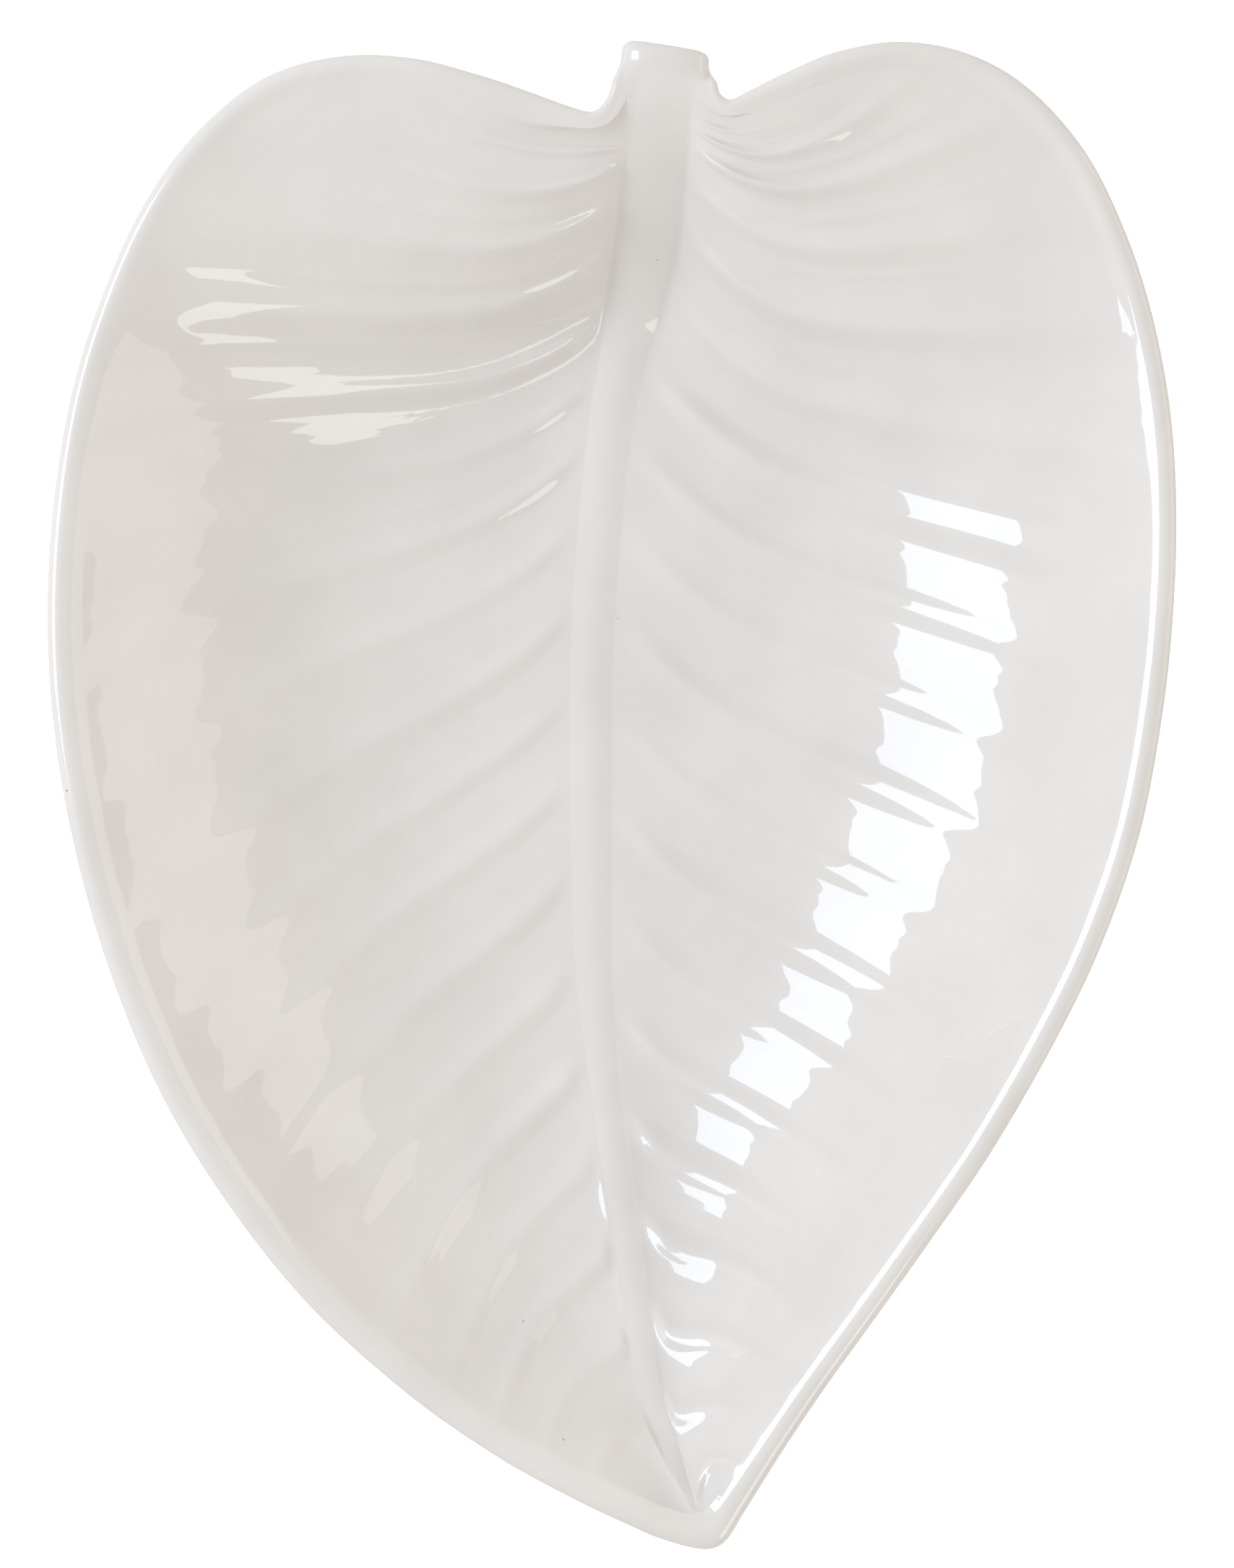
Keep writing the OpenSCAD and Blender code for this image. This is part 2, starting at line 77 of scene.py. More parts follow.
# Outline of the blade from the stalk round each side, in shares of its width and length
OUTLINES = (
    [
        (0.002, 0), (-0.004, 0.010), (-0.016, 0.017), (-0.040, 0.012), (-0.071, 0.003),
        (-0.116, -0.009), (-0.177, -0.021), (-0.244, -0.022), (-0.311, -0.006), (-0.374, 0.035),
        (-0.420, 0.087), (-0.455, 0.149), (-0.479, 0.210), (-0.494, 0.280), (-0.500, 0.356),
        (-0.495, 0.433), (-0.478, 0.513), (-0.448, 0.597), (-0.404, 0.681), (-0.348, 0.755),
        (-0.272, 0.830), (-0.184, 0.892), (-0.103, 0.936), (-0.030, 0.967), (0.037, 0.991),
    ],
    [
        (0.096, 0), (0.099, 0.006), (0.108, 0.009), (0.127, 0.002), (0.156, -0.009),
        (0.200, -0.023), (0.258, -0.030), (0.319, -0.021), (0.373, 0.004), (0.422, 0.048),
        (0.457, 0.104), (0.480, 0.161), (0.495, 0.225), (0.500, 0.292), (0.497, 0.362),
        (0.487, 0.433), (0.467, 0.513), (0.433, 0.589), (0.389, 0.659), (0.335, 0.731),
        (0.280, 0.793), (0.232, 0.845), (0.190, 0.890), (0.151, 0.935), (0.117, 0.977),
    ],
)
TIP_OUTLINE_SHARES = [(0.037, 0.991), (0.066, 0.998), (0.088, 1), (0.103, 0.994), (0.117, 0.977)]
TIP_HOLLOW_SHARE = (0.080, 0.982)

# Where each side vein leaves the midrib, along the blade, and where it meets the rim, along the outline
ROOTS = (
    [
        0, 0.010, 0.020, 0.029, 0.037, 0.046, 0.064, 0.093, 0.134, 0.180, 0.226, 0.278,
        0.338, 0.400, 0.460, 0.522, 0.589, 0.654, 0.716, 0.780, 0.844, 0.906, 0.975,
    ],
    [
        0, 0.007, 0.012, 0.017, 0.023, 0.031, 0.047, 0.074, 0.110, 0.157, 0.210, 0.268,
        0.330, 0.396, 0.466, 0.536, 0.606, 0.677, 0.747, 0.817, 0.880, 0.932, 0.975,
    ],
)
RIMS = (
    [
        0, 0.080, 0.150, 0.208, 0.272, 0.342, 0.408, 0.460, 0.512, 0.566, 0.618, 0.666,
        0.708, 0.744, 0.777, 0.808, 0.837, 0.864, 0.890, 0.914, 0.938, 0.965, 1,
    ],
    [
        0, 0.080, 0.150, 0.208, 0.270, 0.346, 0.411, 0.471, 0.532, 0.584, 0.625, 0.663,
        0.702, 0.740, 0.775, 0.809, 0.842, 0.874, 0.904, 0.933, 0.960, 0.982, 1,
    ],
)
# Angle below straight across at which each vein leaves the midrib, and at which it arrives at the rim
LEAVES = (
    [0, 0, 4, 6, 8, 26, 38, 42, 42, 42, 44, 45, 45, 43, 42, 46, 47, 48, 52, 54, 58, 62, 68],
    [0, 10, 20, 32, 42, 44, 48, 53, 55, 53, 51, 49, 50, 50, 49, 48, 48, 49, 48, 48, 50, 54, 62],
)
ARRIVALS = (
    [0, -20, -36, -42, -44, -30, -10, 3, 14, 30, 40, 50, 54, 58, 61, 65, 66, 68, 72, 76, 76, 74, 70],
    [0, -30, -44, -50, -42, -16, 0, 12, 24, 30, 33, 37, 40, 43, 46, 47, 49, 52, 55, 58, 60, 64, 70],
)
# How far a vein's crest lies beyond its line, from the midrib to the rim, as a share of the gap
CRESTS = (
    [0.28, 0.11, -0.09, -0.14, -0.10],
    [0.44, 0.37, 0.11, -0.07, -0.15],
)
# Sideways place and width of the midrib at even steps from the stalk to the tip
MIDRIB_BEND_SHARES = [0.050, 0.028, -0.003, -0.018, -0.025, -0.025, -0.023, -0.010, 0.011, 0.035, 0.088]
MIDRIB_WIDTH_SHARES = [1.22, 1.36, 1.07, 1.02, 1.00, 0.97, 0.85, 0.69, 0.60, 0.44, 0.20]
# How far the rounded rim's section lies in from the outline, and below the top
RIM_INSET_SHARES = [1, 0.5, 0.2, 0.04, 0, 0.05, 0.45]
RIM_DROP_SHARES = [0.25, 0, 0.07, 0.23, 0.5, 1, 1.25]

VEIN_COUNT = len(ROOTS[LEFT]) - 1
FIRST_VEIN = 3
# Cells of the blade's grid
ROWS_PER_VEIN = 24
ROWS = VEIN_COUNT * ROWS_PER_VEIN
SIDE_CELLS = 30
STRIP_CELLS = 16
COLUMNS = 2 * SIDE_CELLS + STRIP_CELLS
RIM_LINES = 14
MIDRIB_ROWS = ROWS - 10
# Share of the row at the tip that lies on each side of the midrib
TIP_SIDE_SHARE = 0.48
# Place along the rim from which the rows turn into the line round the tip
TIP_TURN = 0.955

# How sharply the floor falls from the stalk and climbs to the tip, and the rim's width changes at the tip
STALK_FALL_POWER = 1.8
TIP_CLIMB_POWER = 1.6
TIP_RIM_POWER = 8
# Share of the rim over which it widens from the stalk, and share of its inner drop that is left there
STALK_WIDENING_SHARE = 0.12
STALK_DROP_SHARE = 0.15
# Step along the rim over which its direction is found
RIM_STEP = 0.004
# How far a vein follows its first and last direction, as a share of its length
VEIN_PULL_SHARE = 0.36
# Least and greatest power of the wall's curve from the floor to the rim
LEAST_BEND, GREATEST_BEND = 1.3, 3
# How narrow a vein is, and how much the veins differ in height
VEIN_POWER = 3
VEIN_VARIETY = 0.18
# Place of the strongest vein, how many veins off the strength is back to 1, and its strength
STRONG_VEIN = 6.5
STRONG_VEIN_REACH = 5
STRONG_VEIN_SHARE = 2.0
# Strength of the veins at the tip, the vein it rises from, and over how many veins
TIP_VEIN_SHARE = 1.4
TIP_VEIN = 15
TIP_VEIN_REACH = 4
# Share over which the veins of the left and right side rise, their strength, and how fast they fade
SIDE_STARTS = (0.09, 0.16)
SIDE_STRENGTHS = (1, 1.4)
SIDE_FADES = (0.5, 0.6)
# Place, height and width of the finer ribs between two veins, in shares of the gap between them
FINE_RIBS = [(0.36, 0.8, 0.06), (0.56, 1.0, 0.07), (0.76, 0.7, 0.06)]
# Share of the fine ribs' height left on each side from a vein on, and over how many veins they fade to it
FINE_RIB_ENDS = (0.25, 0.45)
FINE_RIB_VEIN = 14
FINE_RIB_REACH = 6
# How far the fine ribs sway, as a share of the gap, and how much they differ in height
FINE_RIB_SWAY = 0.05
FINE_RIB_VARIETY = 0.4
# Share from the midrib at which the fine ribs start, and over which they rise
FINE_RIB_START = 0.1
FINE_RIB_RISE = 0.3
# How much thicker than the floor the wall is, measured upright, at the rim and where it falls steeply
RIM_THICKENING = 0.45
FALL_THICKENING = 0.6
FALL_POWER = 0.6
# How much wider the foot ring is towards the stalk
FOOT_EGG_SHARE = 0.2
# Share of its height that the midrib has at the stalk, and of the blade's length over which it rises
ROOT_HEIGHT_SHARE = 0.4
ROOT_RISE_SHARE = 0.08
# How far the midrib's ridge lies to the left at the stalk, and the length over which it comes back
RIDGE_LIE = 0.75
RIDGE_LIE_SHARE = 0.3
# Rounding of the ridge, as a share of half the midrib's width
RIDGE_ROUND_SHARE = 0.4
# Share of its height that the midrib has before its end, and the length over which it runs out
MIDRIB_END_SHARE = 0.15
MIDRIB_END_POWER = 8
MIDRIB_RUN_OUT = 0.05
# Depth of the midrib under its back, and how much the blade lies lower under it, rising over some rows
MIDRIB_DEPTH = 1.2 * MM
STRIP_SINK = 0.4 * MM
STRIP_SINK_ROWS = 4

# Share of the stalk's length against share of its end's shape
STALK_SHAPE_SHARES = [0, 0.05, 0.2, 0.4, 0.6, 0.78, 0.9, 0.97, 1]
STALK_RINGS = 16
ROUND_RINGS = 8
# How evenly the root's points spread round the stalk's end, how square it is, and where it has smaller rings
EVENNESS = 0.5
END_POWER = 2.5
END_INSETS = (0.15, 0.5)

FOOT_CENTRE_SHARE = (-0.033, 0.44)
FOOT_POINTS = 192
# Section of the foot ring, from its outer top over the bottom to its inner top: inset and height
FOOT_SECTION_SHARES = [
    (0, 1), (0.02, 0.6), (0.05, 0.3), (0.09, 0.12), (0.15, 0.03), (0.22, 0),
    (0.78, 0), (0.85, 0.03), (0.91, 0.12), (0.95, 0.3), (0.98, 0.6), (1, 1),
]
# Share of the foot's height below which it is bare, and of its colour that is left where it is stained
BARE_HEIGHT_SHARE = 0.04
STAIN_SHARE = 0.82

# Edges sharper than this stay sharp
SMOOTH_ANGLE = 50
# Corners nearer to each other than this are one place
SAME_PLACE = 2e-6
# At a joint: the most that an outer face looks along the cut, the least that the midrib's back looks up,
# and the least that a normal agrees with the mean
CUT_FACING = 0.97
BACK_FACING = 0.5
LIKENESS = 0.8

# Direction of the camera round from -Y and up, its distance, and the place it looks at
CAMERA_TURN = 60
CAMERA_RISE = 87
CAMERA_DISTANCE = 1.3
CAMERA_TARGET = (1.6 * MM, 1.47 * MM, 53 * MM)
# Longer side of the picture in pixels, what a pixel takes in at the rim, and a last correction of it
PICTURE_LENGTH = 2171
PIXEL = 300 * MM / 2085
ZOOM = 1.0043
# Longer side of the camera's sensor, in millimetres
SENSOR = 36
CLIP_END = 20
# Name, direction round from +X and up, distance, width, height, radiance and colour of each soft box,
# and whether it lights the dish or is only mirrored in its glaze
SOFT_BOXES = [
    ("soft_box_left", 163, 40, 1.2, 0.66, 0.48, 5.6, "#DFEEFF", True),
    ("soft_box_front", -49, 36, 1.3, 0.40, 0.42, 3.0, "#FFFFFF", True),
    ("reflector_right", 5, 14, 1.3, 1.80, 0.60, 0.9, "#FFFFFF", False),
]
FLOOR_SIZE = 6
FLOOR_GAP = 0.02 * MM
FLOOR_GLOW = 0.6
# Light of the surroundings: level, its share along y, and its shares with the squares of z and y
ROOM_LEVEL = 0.91
ROOM_LEAN = 0.08
ROOM_SQUARES = (("Z", -0.42), ("Y", -0.16))
ROOM_TINT = srgb("#FFFAF4")


def smooth(x):
    """Eases from 0 to 1, with x held between them."""
    x = np.clip(x, 0, 1)
    return x * x * (3 - 2 * x)


def blend(a, b, share):
    """Goes from a to b by a share."""
    return a + (b - a) * share


def along(table, share):
    """Value of a smooth curve through all rows of a table, at a share of its length."""
    rows = np.asarray(table, float)
    first = 2 * rows[0] - rows[1]
    last = 2 * rows[-1] - rows[-2]
    rows = np.concatenate([[first], rows, [last]])
    t = np.clip(np.asarray(share, float), 0, 1) * (len(rows) - 3)
    i = np.minimum(np.floor(t).astype(int), len(rows) - 4)
    f = t - i
    if rows.ndim > 1:
        f = f[..., None]
    a, b, c, d = rows[i], rows[i + 1], rows[i + 2], rows[i + 3]
    return (
        2 * b + (c - a) * f + (2 * a - 5 * b + 4 * c - d) * f ** 2 + (3 * b - a - 3 * c + d) * f ** 3
    ) / 2


class LeafShape:
    """The dish's surfaces, from the place along the rim (0 at the stalk, 1 at the tip) and across."""

    def __init__(self, sizes):
        self.sizes = sizes
        self.stalk_plane = sizes.leaf_length / 2 - sizes.stalk_length
        self.blade_length = sizes.leaf_length - sizes.stalk_length
        self.floor_top = sizes.foot_height + sizes.wall
        self.rim_inner_top = sizes.leaf_height - sizes.rim_depth * RIM_DROP_SHARES[0]
        self.root_top = sizes.leaf_height - sizes.midrib_height * ROOT_HEIGHT_SHARE
        self.foot_centre = self.plan(FOOT_CENTRE_SHARE)

    def plan(self, share):
        """Place in plan of a pair of shares."""
        share = np.asarray(share, float)
        x = share[..., 0] * self.sizes.leaf_width
        y = self.stalk_plane - share[..., 1] * self.blade_length
        return np.stack([x, y], -1)

    def midrib_edge(self, side, s):
        """Edge of the midrib on one side, at a share of the blade's length."""
        centre = self.plan(np.stack([along(MIDRIB_BEND_SHARES, s), s], -1))
        half = self.sizes.midrib_width * along(MIDRIB_WIDTH_SHARES, s) / 2
        return centre + np.stack([OUTWARD[side] * half, np.zeros_like(half)], -1)

    def floor_line(self, s):
        """Height of the floor under the midrib."""
        stalk_share = 1 - s * self.blade_length / self.sizes.stalk_fall
        tip_share = np.clip(1 - (1 - s) * self.blade_length / self.sizes.tip_climb, 0, 1)
        return (
            self.floor_top
            + (self.root_top - self.floor_top) * smooth(stalk_share) ** STALK_FALL_POWER
            + (self.rim_inner_top - self.floor_top) * tip_share ** TIP_CLIMB_POWER
        )

    def rim_lowering(self, g):
        """How much lower the rim lies than at its two ends."""
        return self.sizes.rim_sag * np.sin(math.pi * g) ** 2

    def rim_width_at(self, g):
        """Width of the rounded rim."""
        sizes = self.sizes
        widening = blend(sizes.stalk_rim_width, sizes.rim_width, smooth(g / STALK_WIDENING_SHARE))
        return widening + (sizes.tip_rim_width - sizes.rim_width) * g ** TIP_RIM_POWER

    def rim_ease(self, g):
        """Share of the drop on the rim's inner side that is left near the stalk."""
        return blend(STALK_DROP_SHARE, 1, smooth(g / STALK_WIDENING_SHARE))

    def rim_outer(self, side, g):
        """Outline of the dish in plan."""
        return self.plan(along(OUTLINES[side], along(RIMS[side], g)))

    def rim_inner(self, side, g):
        """Inner line of the rim in plan."""
        place = along(RIMS[side], g)
        back = self.plan(along(OUTLINES[side], place - RIM_STEP))
        ahead = self.plan(along(OUTLINES[side], place + RIM_STEP))
        run = ahead - back
        run /= np.linalg.norm(run, axis=-1, keepdims=True)
        inward = OUTWARD[side] * np.stack([run[..., 1], -run[..., 0]], -1)
        # At the stalk's root the rim's end lies in the plane across it
        straight = np.array([-OUTWARD[side], 0.0])
        inward = np.where((place <= 0)[..., None], straight, inward)
        return self.rim_outer(side, g) + self.rim_width_at(g)[..., None] * inward

    def tip_inner(self, share):
        """Inner line round the tip, from the left side to the right side."""
        a, c = (self.rim_inner(side, np.array(1.0)) for side in (LEFT, RIGHT))
        b = self.plan(TIP_HOLLOW_SHARE)
        share = np.asarray(share)[..., None]
        return blend(blend(a, b, share), blend(b, c, share), share)

    def relief(self, side, g, v):
        """Height above the wall of the veins and of the finer ribs between them.

        Sines of a vein's number make the veins and the ribs differ a little from each other.
        """
        sizes = self.sizes
        u = g * VEIN_COUNT
        crest = u - along(CRESTS[side], v)
        number = np.round(crest)
        strength = 1 + VEIN_VARIETY * np.sin(number * 2.7 + side * 1.3)
        wave = 0.5 + 0.5 * np.cos(2 * math.pi * (crest - number))
        height = sizes.vein_height * strength * wave ** VEIN_POWER
        near_stalk = blend(FINE_RIB_ENDS[side], 1, smooth((FINE_RIB_VEIN - u) / FINE_RIB_REACH))
        for place, share, width in FINE_RIBS:
            number = np.round(crest - place)
            sway = FINE_RIB_SWAY * np.sin(number * 2.3 + side * 1.7 + place * 9)
            strength = blend(1, np.sin(number * 1.9 + side * 2.6 + place * 17), FINE_RIB_VARIETY)
            offset = (crest - place - number - sway) / width
            rib = sizes.fine_rib_height * share * strength * np.exp(-offset ** 2)
            height = height + rib * near_stalk * smooth((v - FINE_RIB_START) / FINE_RIB_RISE)
        near = np.clip(1 - np.abs(u - STRONG_VEIN) / STRONG_VEIN_REACH, 0, 1)
        at_tip = smooth((u - TIP_VEIN) / TIP_VEIN_REACH)
        height = height * blend(1, STRONG_VEIN_SHARE, near * (1 - v)) * blend(1, TIP_VEIN_SHARE, at_tip)
        start = smooth(v / SIDE_STARTS[side])
        end = SIDE_STRENGTHS[side] * np.maximum(1 - v, 0) ** SIDE_FADES[side]
        first = smooth(u - FIRST_VEIN)
        last = np.clip(VEIN_COUNT - u, 0, 1)
        return height * start * end * first * last

    def side_points(self, side, g, v, with_relief=True):
        """Points of one side for each place along the rim and each share from the midrib to the rim."""
        sizes = self.sizes
        g = g[:, None]
        s = along(ROOTS[side], g)
        start = self.midrib_edge(side, s)
        end = self.rim_inner(side, g)
        span = np.linalg.norm(end - start, axis=-1)
        pull = VEIN_PULL_SHARE * span[..., None]
        leave = np.radians(along(LEAVES[side], g))
        arrive = np.radians(along(ARRIVALS[side], g))
        b = start + pull * np.stack([OUTWARD[side] * np.cos(leave), -np.sin(leave)], -1)
        c = end - pull * np.stack([OUTWARD[side] * np.cos(arrive), -np.sin(arrive)], -1)
        f = v[None, :, None]
        place = start * (1 - f) ** 3 + 3 * b * f * (1 - f) ** 2 + 3 * c * f ** 2 * (1 - f) + end * f ** 3
        turn = smooth((g - TIP_TURN) / (1 - TIP_TURN))
        across = TIP_SIDE_SHARE * (1 - v)
        across = across if side == LEFT else 1 - across
        place = blend(place, self.tip_inner(across)[None], turn[..., None])
        low = blend(self.floor_line(s), self.rim_inner_top, turn)
        drop = sizes.rim_depth * RIM_DROP_SHARES[0] * self.rim_ease(g)
        high = sizes.leaf_height - drop - self.rim_lowering(g)
        # Towards the tip the floor comes up to the rim, so their distance is held above a little
        bend = sizes.wall_slope * span / np.maximum(high - low, sizes.wall / 3)
        bend = np.clip(bend, LEAST_BEND, GREATEST_BEND)
        z = low + (high - low) * v[None, :] ** bend
        if with_relief:
            z = z + self.relief(side, g, v[None, :])
        return np.concatenate([place, z[..., None]], -1)

    def blade_points(self, g, v, strip, with_relief=True):
        """Rows of the whole leaf from the left rim over the midrib's strip to the right rim."""
        left = self.side_points(LEFT, g, v[::-1], with_relief)
        right = self.side_points(RIGHT, g, v, with_relief)
        a, b = left[:, -1:], right[:, :1]
        middle = blend(a, b, strip[None, 1:-1, None])
        return np.concatenate([left, middle, right], 1)

    def under_points(self, points, v, s):
        """The underside: flat round the foot, and further out it follows the wall."""
        sizes = self.sizes
        fall = np.clip(s * self.blade_length / sizes.stalk_fall, 0, 1) ** FALL_POWER
        steep = 4 * fall * (1 - fall) * (1 - v ** 2)
        # A steep wall is thicker when it is measured upright
        free = points[..., 2] - sizes.wall * (1 + RIM_THICKENING * v ** 2 + FALL_THICKENING * steep)
        share = (self.foot_distance(points[..., :2]) - sizes.seat_margin) / sizes.seat_fade
        z = sizes.foot_height + np.maximum(0, free - sizes.foot_height) * smooth(share)
        return np.concatenate([points[..., :2], z[..., None]], -1)

    def foot_point(self, turn, inset):
        """Point of the foot ring's egg-shaped outline about its centre."""
        sizes = self.sizes
        x = (sizes.foot_width / 2 - inset) * np.cos(turn) * (1 + FOOT_EGG_SHARE * np.sin(turn))
        y = (sizes.foot_length / 2 - inset) * np.sin(turn)
        return np.stack([x, y], -1)

    def foot_distance(self, place):
        """How far a place lies outside the foot ring."""
        d = place - self.foot_centre
        turn = np.arctan2(d[..., 1] / self.sizes.foot_length, d[..., 0] / self.sizes.foot_width)
        return np.linalg.norm(d, axis=-1) - np.linalg.norm(self.foot_point(turn, 0), axis=-1)

    def rim_points(self, outer, inner, lowering, ease, t):
        """A line of the rounded rim, with t from 0 at its inner line to 1 at its foot."""
        inset = np.maximum(along(RIM_INSET_SHARES, t), 0)
        drop = np.maximum(along(RIM_DROP_SHARES, t), 0) * (ease if t < 1 / (len(RIM_DROP_SHARES) - 1) else 1)
        place = blend(outer, inner, inset)
        z = self.sizes.leaf_height - lowering - self.sizes.rim_depth * drop
        return np.concatenate([place, z[..., None]], -1)

    def crest_points(self, g, strip):
        """Rows of the midrib's back: two flanks and a ridge, nearer the left edge towards the stalk."""
        sizes = self.sizes
        a, b = (self.side_points(side, g, np.array([0.0])) for side in (LEFT, RIGHT))
        s = along(ROOTS[LEFT], g)
        lie = blend(RIDGE_LIE, 1, smooth(s / RIDGE_LIE_SHARE))
        off = 2 * strip[None, :] ** lie[:, None] - 1
        full = math.hypot(1, RIDGE_ROUND_SHARE)
        bump = (full - np.hypot(off, RIDGE_ROUND_SHARE)) / (full - RIDGE_ROUND_SHARE)
        rise = blend(ROOT_HEIGHT_SHARE, 1, smooth(s / ROOT_RISE_SHARE))
        end = MIDRIB_ROWS / ROWS
        fade = blend(1, MIDRIB_END_SHARE, (g / end) ** MIDRIB_END_POWER) * smooth((end - g) / MIDRIB_RUN_OUT)
        narrow = np.minimum(along(MIDRIB_WIDTH_SHARES, s), 1)
        points = blend(a, b, strip[None, :, None])
        points[..., 2] += sizes.midrib_height * bump * (rise * fade * narrow)[:, None]
        return points


def row_places():
    """Places along the rim of the blade's rows, from the stalk to the tip."""
    return np.arange(ROWS + 1) / ROWS


def side_shares():
    """Shares from the midrib to the rim, closer together near both."""
    even = np.arange(SIDE_CELLS + 1) / SIDE_CELLS
    return blend(even, 0.5 - 0.5 * np.cos(math.pi * even), 0.5)


def strip_shares():
    """Shares across the midrib."""
    return np.arange(STRIP_CELLS + 1) / STRIP_CELLS


def deselect_all():
    """Leaves nothing selected."""
    bpy.ops.object.select_all(action="DESELECT")


def only(piece):
    """Selects one piece and makes it active."""
    deselect_all()
    piece.select_set(True)
    bpy.context.view_layer.objects.active = piece


def edit(piece):
    """Opens one piece in edit mode on edges, with nothing changed in what is selected."""
    only(piece)
    bpy.ops.object.mode_set(mode="EDIT")
    bpy.ops.mesh.select_mode(type="EDGE")


def add_grid(name, columns, rows):
    """Adds a grid primitive; its points are numbered row by row."""
    deselect_all()
    bpy.ops.mesh.primitive_grid_add(x_subdivisions=columns, y_subdivisions=rows, size=1)
    piece = bpy.context.object
    piece.name = name
    return piece


def values(layer, key, width=1, kind=np.int32):
    """Reads one property of all items of a mesh's layer."""
    found = np.empty(len(layer) * width, dtype=kind)
    layer.foreach_get(key, found)
    return found.reshape(-1, width) if width > 1 else found


def set_points(piece, points, first=0):
    """Moves a piece's points, from number first, to the given places."""
    mesh = piece.data
    places = values(mesh.vertices, "co", 3, float)
    places[first:first + len(points)] = np.clip(points, *np.asarray(CAD_BOX, float))
    mesh.vertices.foreach_set("co", places.ravel())
    mesh.update()


def edge_ends(mesh):
    """Numbers of the two points of each edge."""
    return values(mesh.edges, "vertices", 2)


def select_edges(piece, chosen):
    """Selects only the chosen edges and opens edit mode on edges."""
    mesh = piece.data
    ends = edge_ends(mesh)
    points = np.zeros(len(mesh.vertices), dtype=bool)
    points[ends[chosen].ravel()] = True
    mesh.polygons.foreach_set("select", np.zeros(len(mesh.polygons), dtype=bool))
    mesh.edges.foreach_set("select", chosen)
    mesh.vertices.foreach_set("select", points)
    edit(piece)


def extrude_line(piece, chosen, order, line):
    """Extrudes the chosen edges and puts the new points on the line, each by its number in order."""
    count = len(piece.data.vertices)
    select_edges(piece, chosen)
    bpy.ops.mesh.extrude_edges_move()
    bpy.ops.object.mode_set(mode="OBJECT")
    numbers = values(piece.data.attributes[order].data, "value")
    set_points(piece, line[numbers[count:]], count)
    return count


def number_points(piece, name, numbers):
    """Stores a whole number on each point of a piece."""
    layer = piece.data.attributes.new(name, "INT", "POINT")
    layer.data.foreach_set("value", np.asarray(numbers, dtype=np.int32))


def border_numbers(rows, columns):
    """Numbers round a grid's left side, tip and right side, and -1 inside it."""
    numbers = np.full((rows + 1, columns + 1), -1)
    numbers[:, 0] = np.arange(rows + 1)
    numbers[rows, :] = rows + np.arange(columns + 1)
    numbers[:, columns] = rows + columns + np.arange(rows, -1, -1)
    return numbers


def chain_edges(piece, name, first=0):
    """Edges that join points with neighbouring numbers, from point number first on."""
    mesh = piece.data
    numbers = values(mesh.attributes[name].data, "value")
    ends = edge_ends(mesh)
    pair = numbers[ends]
    return (ends.min(1) >= first) & (pair.min(1) >= 0) & (np.abs(pair[:, 0] - pair[:, 1]) == 1)


def underside(shape):
    """Points of the blade's underside, with half as many rows and columns as its top."""
    g = row_places()[::2]
    v = side_shares()[::2]
    strip = strip_shares()[::2]
    points = shape.blade_points(g, v, strip, with_relief=False)
    across = np.concatenate([v[::-1], np.zeros(len(strip) - 2), v])
    left, right = (along(ROOTS[side], g)[:, None] for side in (LEFT, RIGHT))
    s = np.concatenate([
        np.repeat(left, len(v), 1), blend(left, right, strip[None, 1:-1]), np.repeat(right, len(v), 1),
    ], 1)
    return shape.under_points(points, across[None, :], s)


def rim_border(shape):
    """Outer line, inner line, lowering and inner ease of the rim along the blade's whole border."""
    g = row_places()
    v = side_shares()
    strip = strip_shares()
    across = np.concatenate([
        TIP_SIDE_SHARE * (1 - v[::-1]),
        blend(TIP_SIDE_SHARE, 1 - TIP_SIDE_SHARE, strip[1:-1]),
        1 - TIP_SIDE_SHARE * (1 - v),
    ])[1:-1]
    outer = np.concatenate([
        shape.rim_outer(LEFT, g),
        shape.plan(along(TIP_OUTLINE_SHARES, across)),
        shape.rim_outer(RIGHT, g)[::-1],
    ])
    inner = np.concatenate([
        shape.side_points(LEFT, g, np.array([1.0]))[:, 0, :2],
        shape.tip_inner(across),
        shape.side_points(RIGHT, g, np.array([1.0]))[::-1, 0, :2],
    ])
    lowering = np.concatenate([
        shape.rim_lowering(g), np.zeros(len(across)), shape.rim_lowering(g)[::-1],
    ])
    ease = np.concatenate([shape.rim_ease(g), np.ones(len(across)), shape.rim_ease(g)[::-1]])
    return outer, inner, lowering, ease


def in_grid_order(rows_of_points):
    """Points in the order of a grid primitive whose far row is the stalk's."""
    return rows_of_points[::-1].reshape(-1, rows_of_points.shape[-1])


def face_outward():
    """Turns all faces of the piece in edit mode outward, and leaves edit mode."""
    bpy.ops.mesh.select_all(action="SELECT")
    bpy.ops.mesh.normals_make_consistent(inside=False)
    bpy.ops.object.mode_set(mode="OBJECT")


def close_open_border(piece):
    """Fills what is still open with one face."""
    edit(piece)
    bpy.ops.mesh.select_all(action="DESELECT")
    bpy.ops.mesh.select_non_manifold()
    bpy.ops.mesh.edge_face_add()
    face_outward()


def start_ring(name, ring):
    """Adds a circle primitive and moves its points, numbered round, to a ring."""
    deselect_all()
    bpy.ops.mesh.primitive_circle_add(vertices=len(ring), fill_type="NOTHING")
    piece = bpy.context.object
    piece.name = name
    set_points(piece, ring)
    number_points(piece, "round", np.arange(len(ring)))
    return piece


def extrude_ring(piece, first, ring):
    """Extrudes the last ring, whose points have the numbers from first on, to the next one."""
    return extrude_line(piece, edge_ends(piece.data).min(1) >= first, "round", ring)


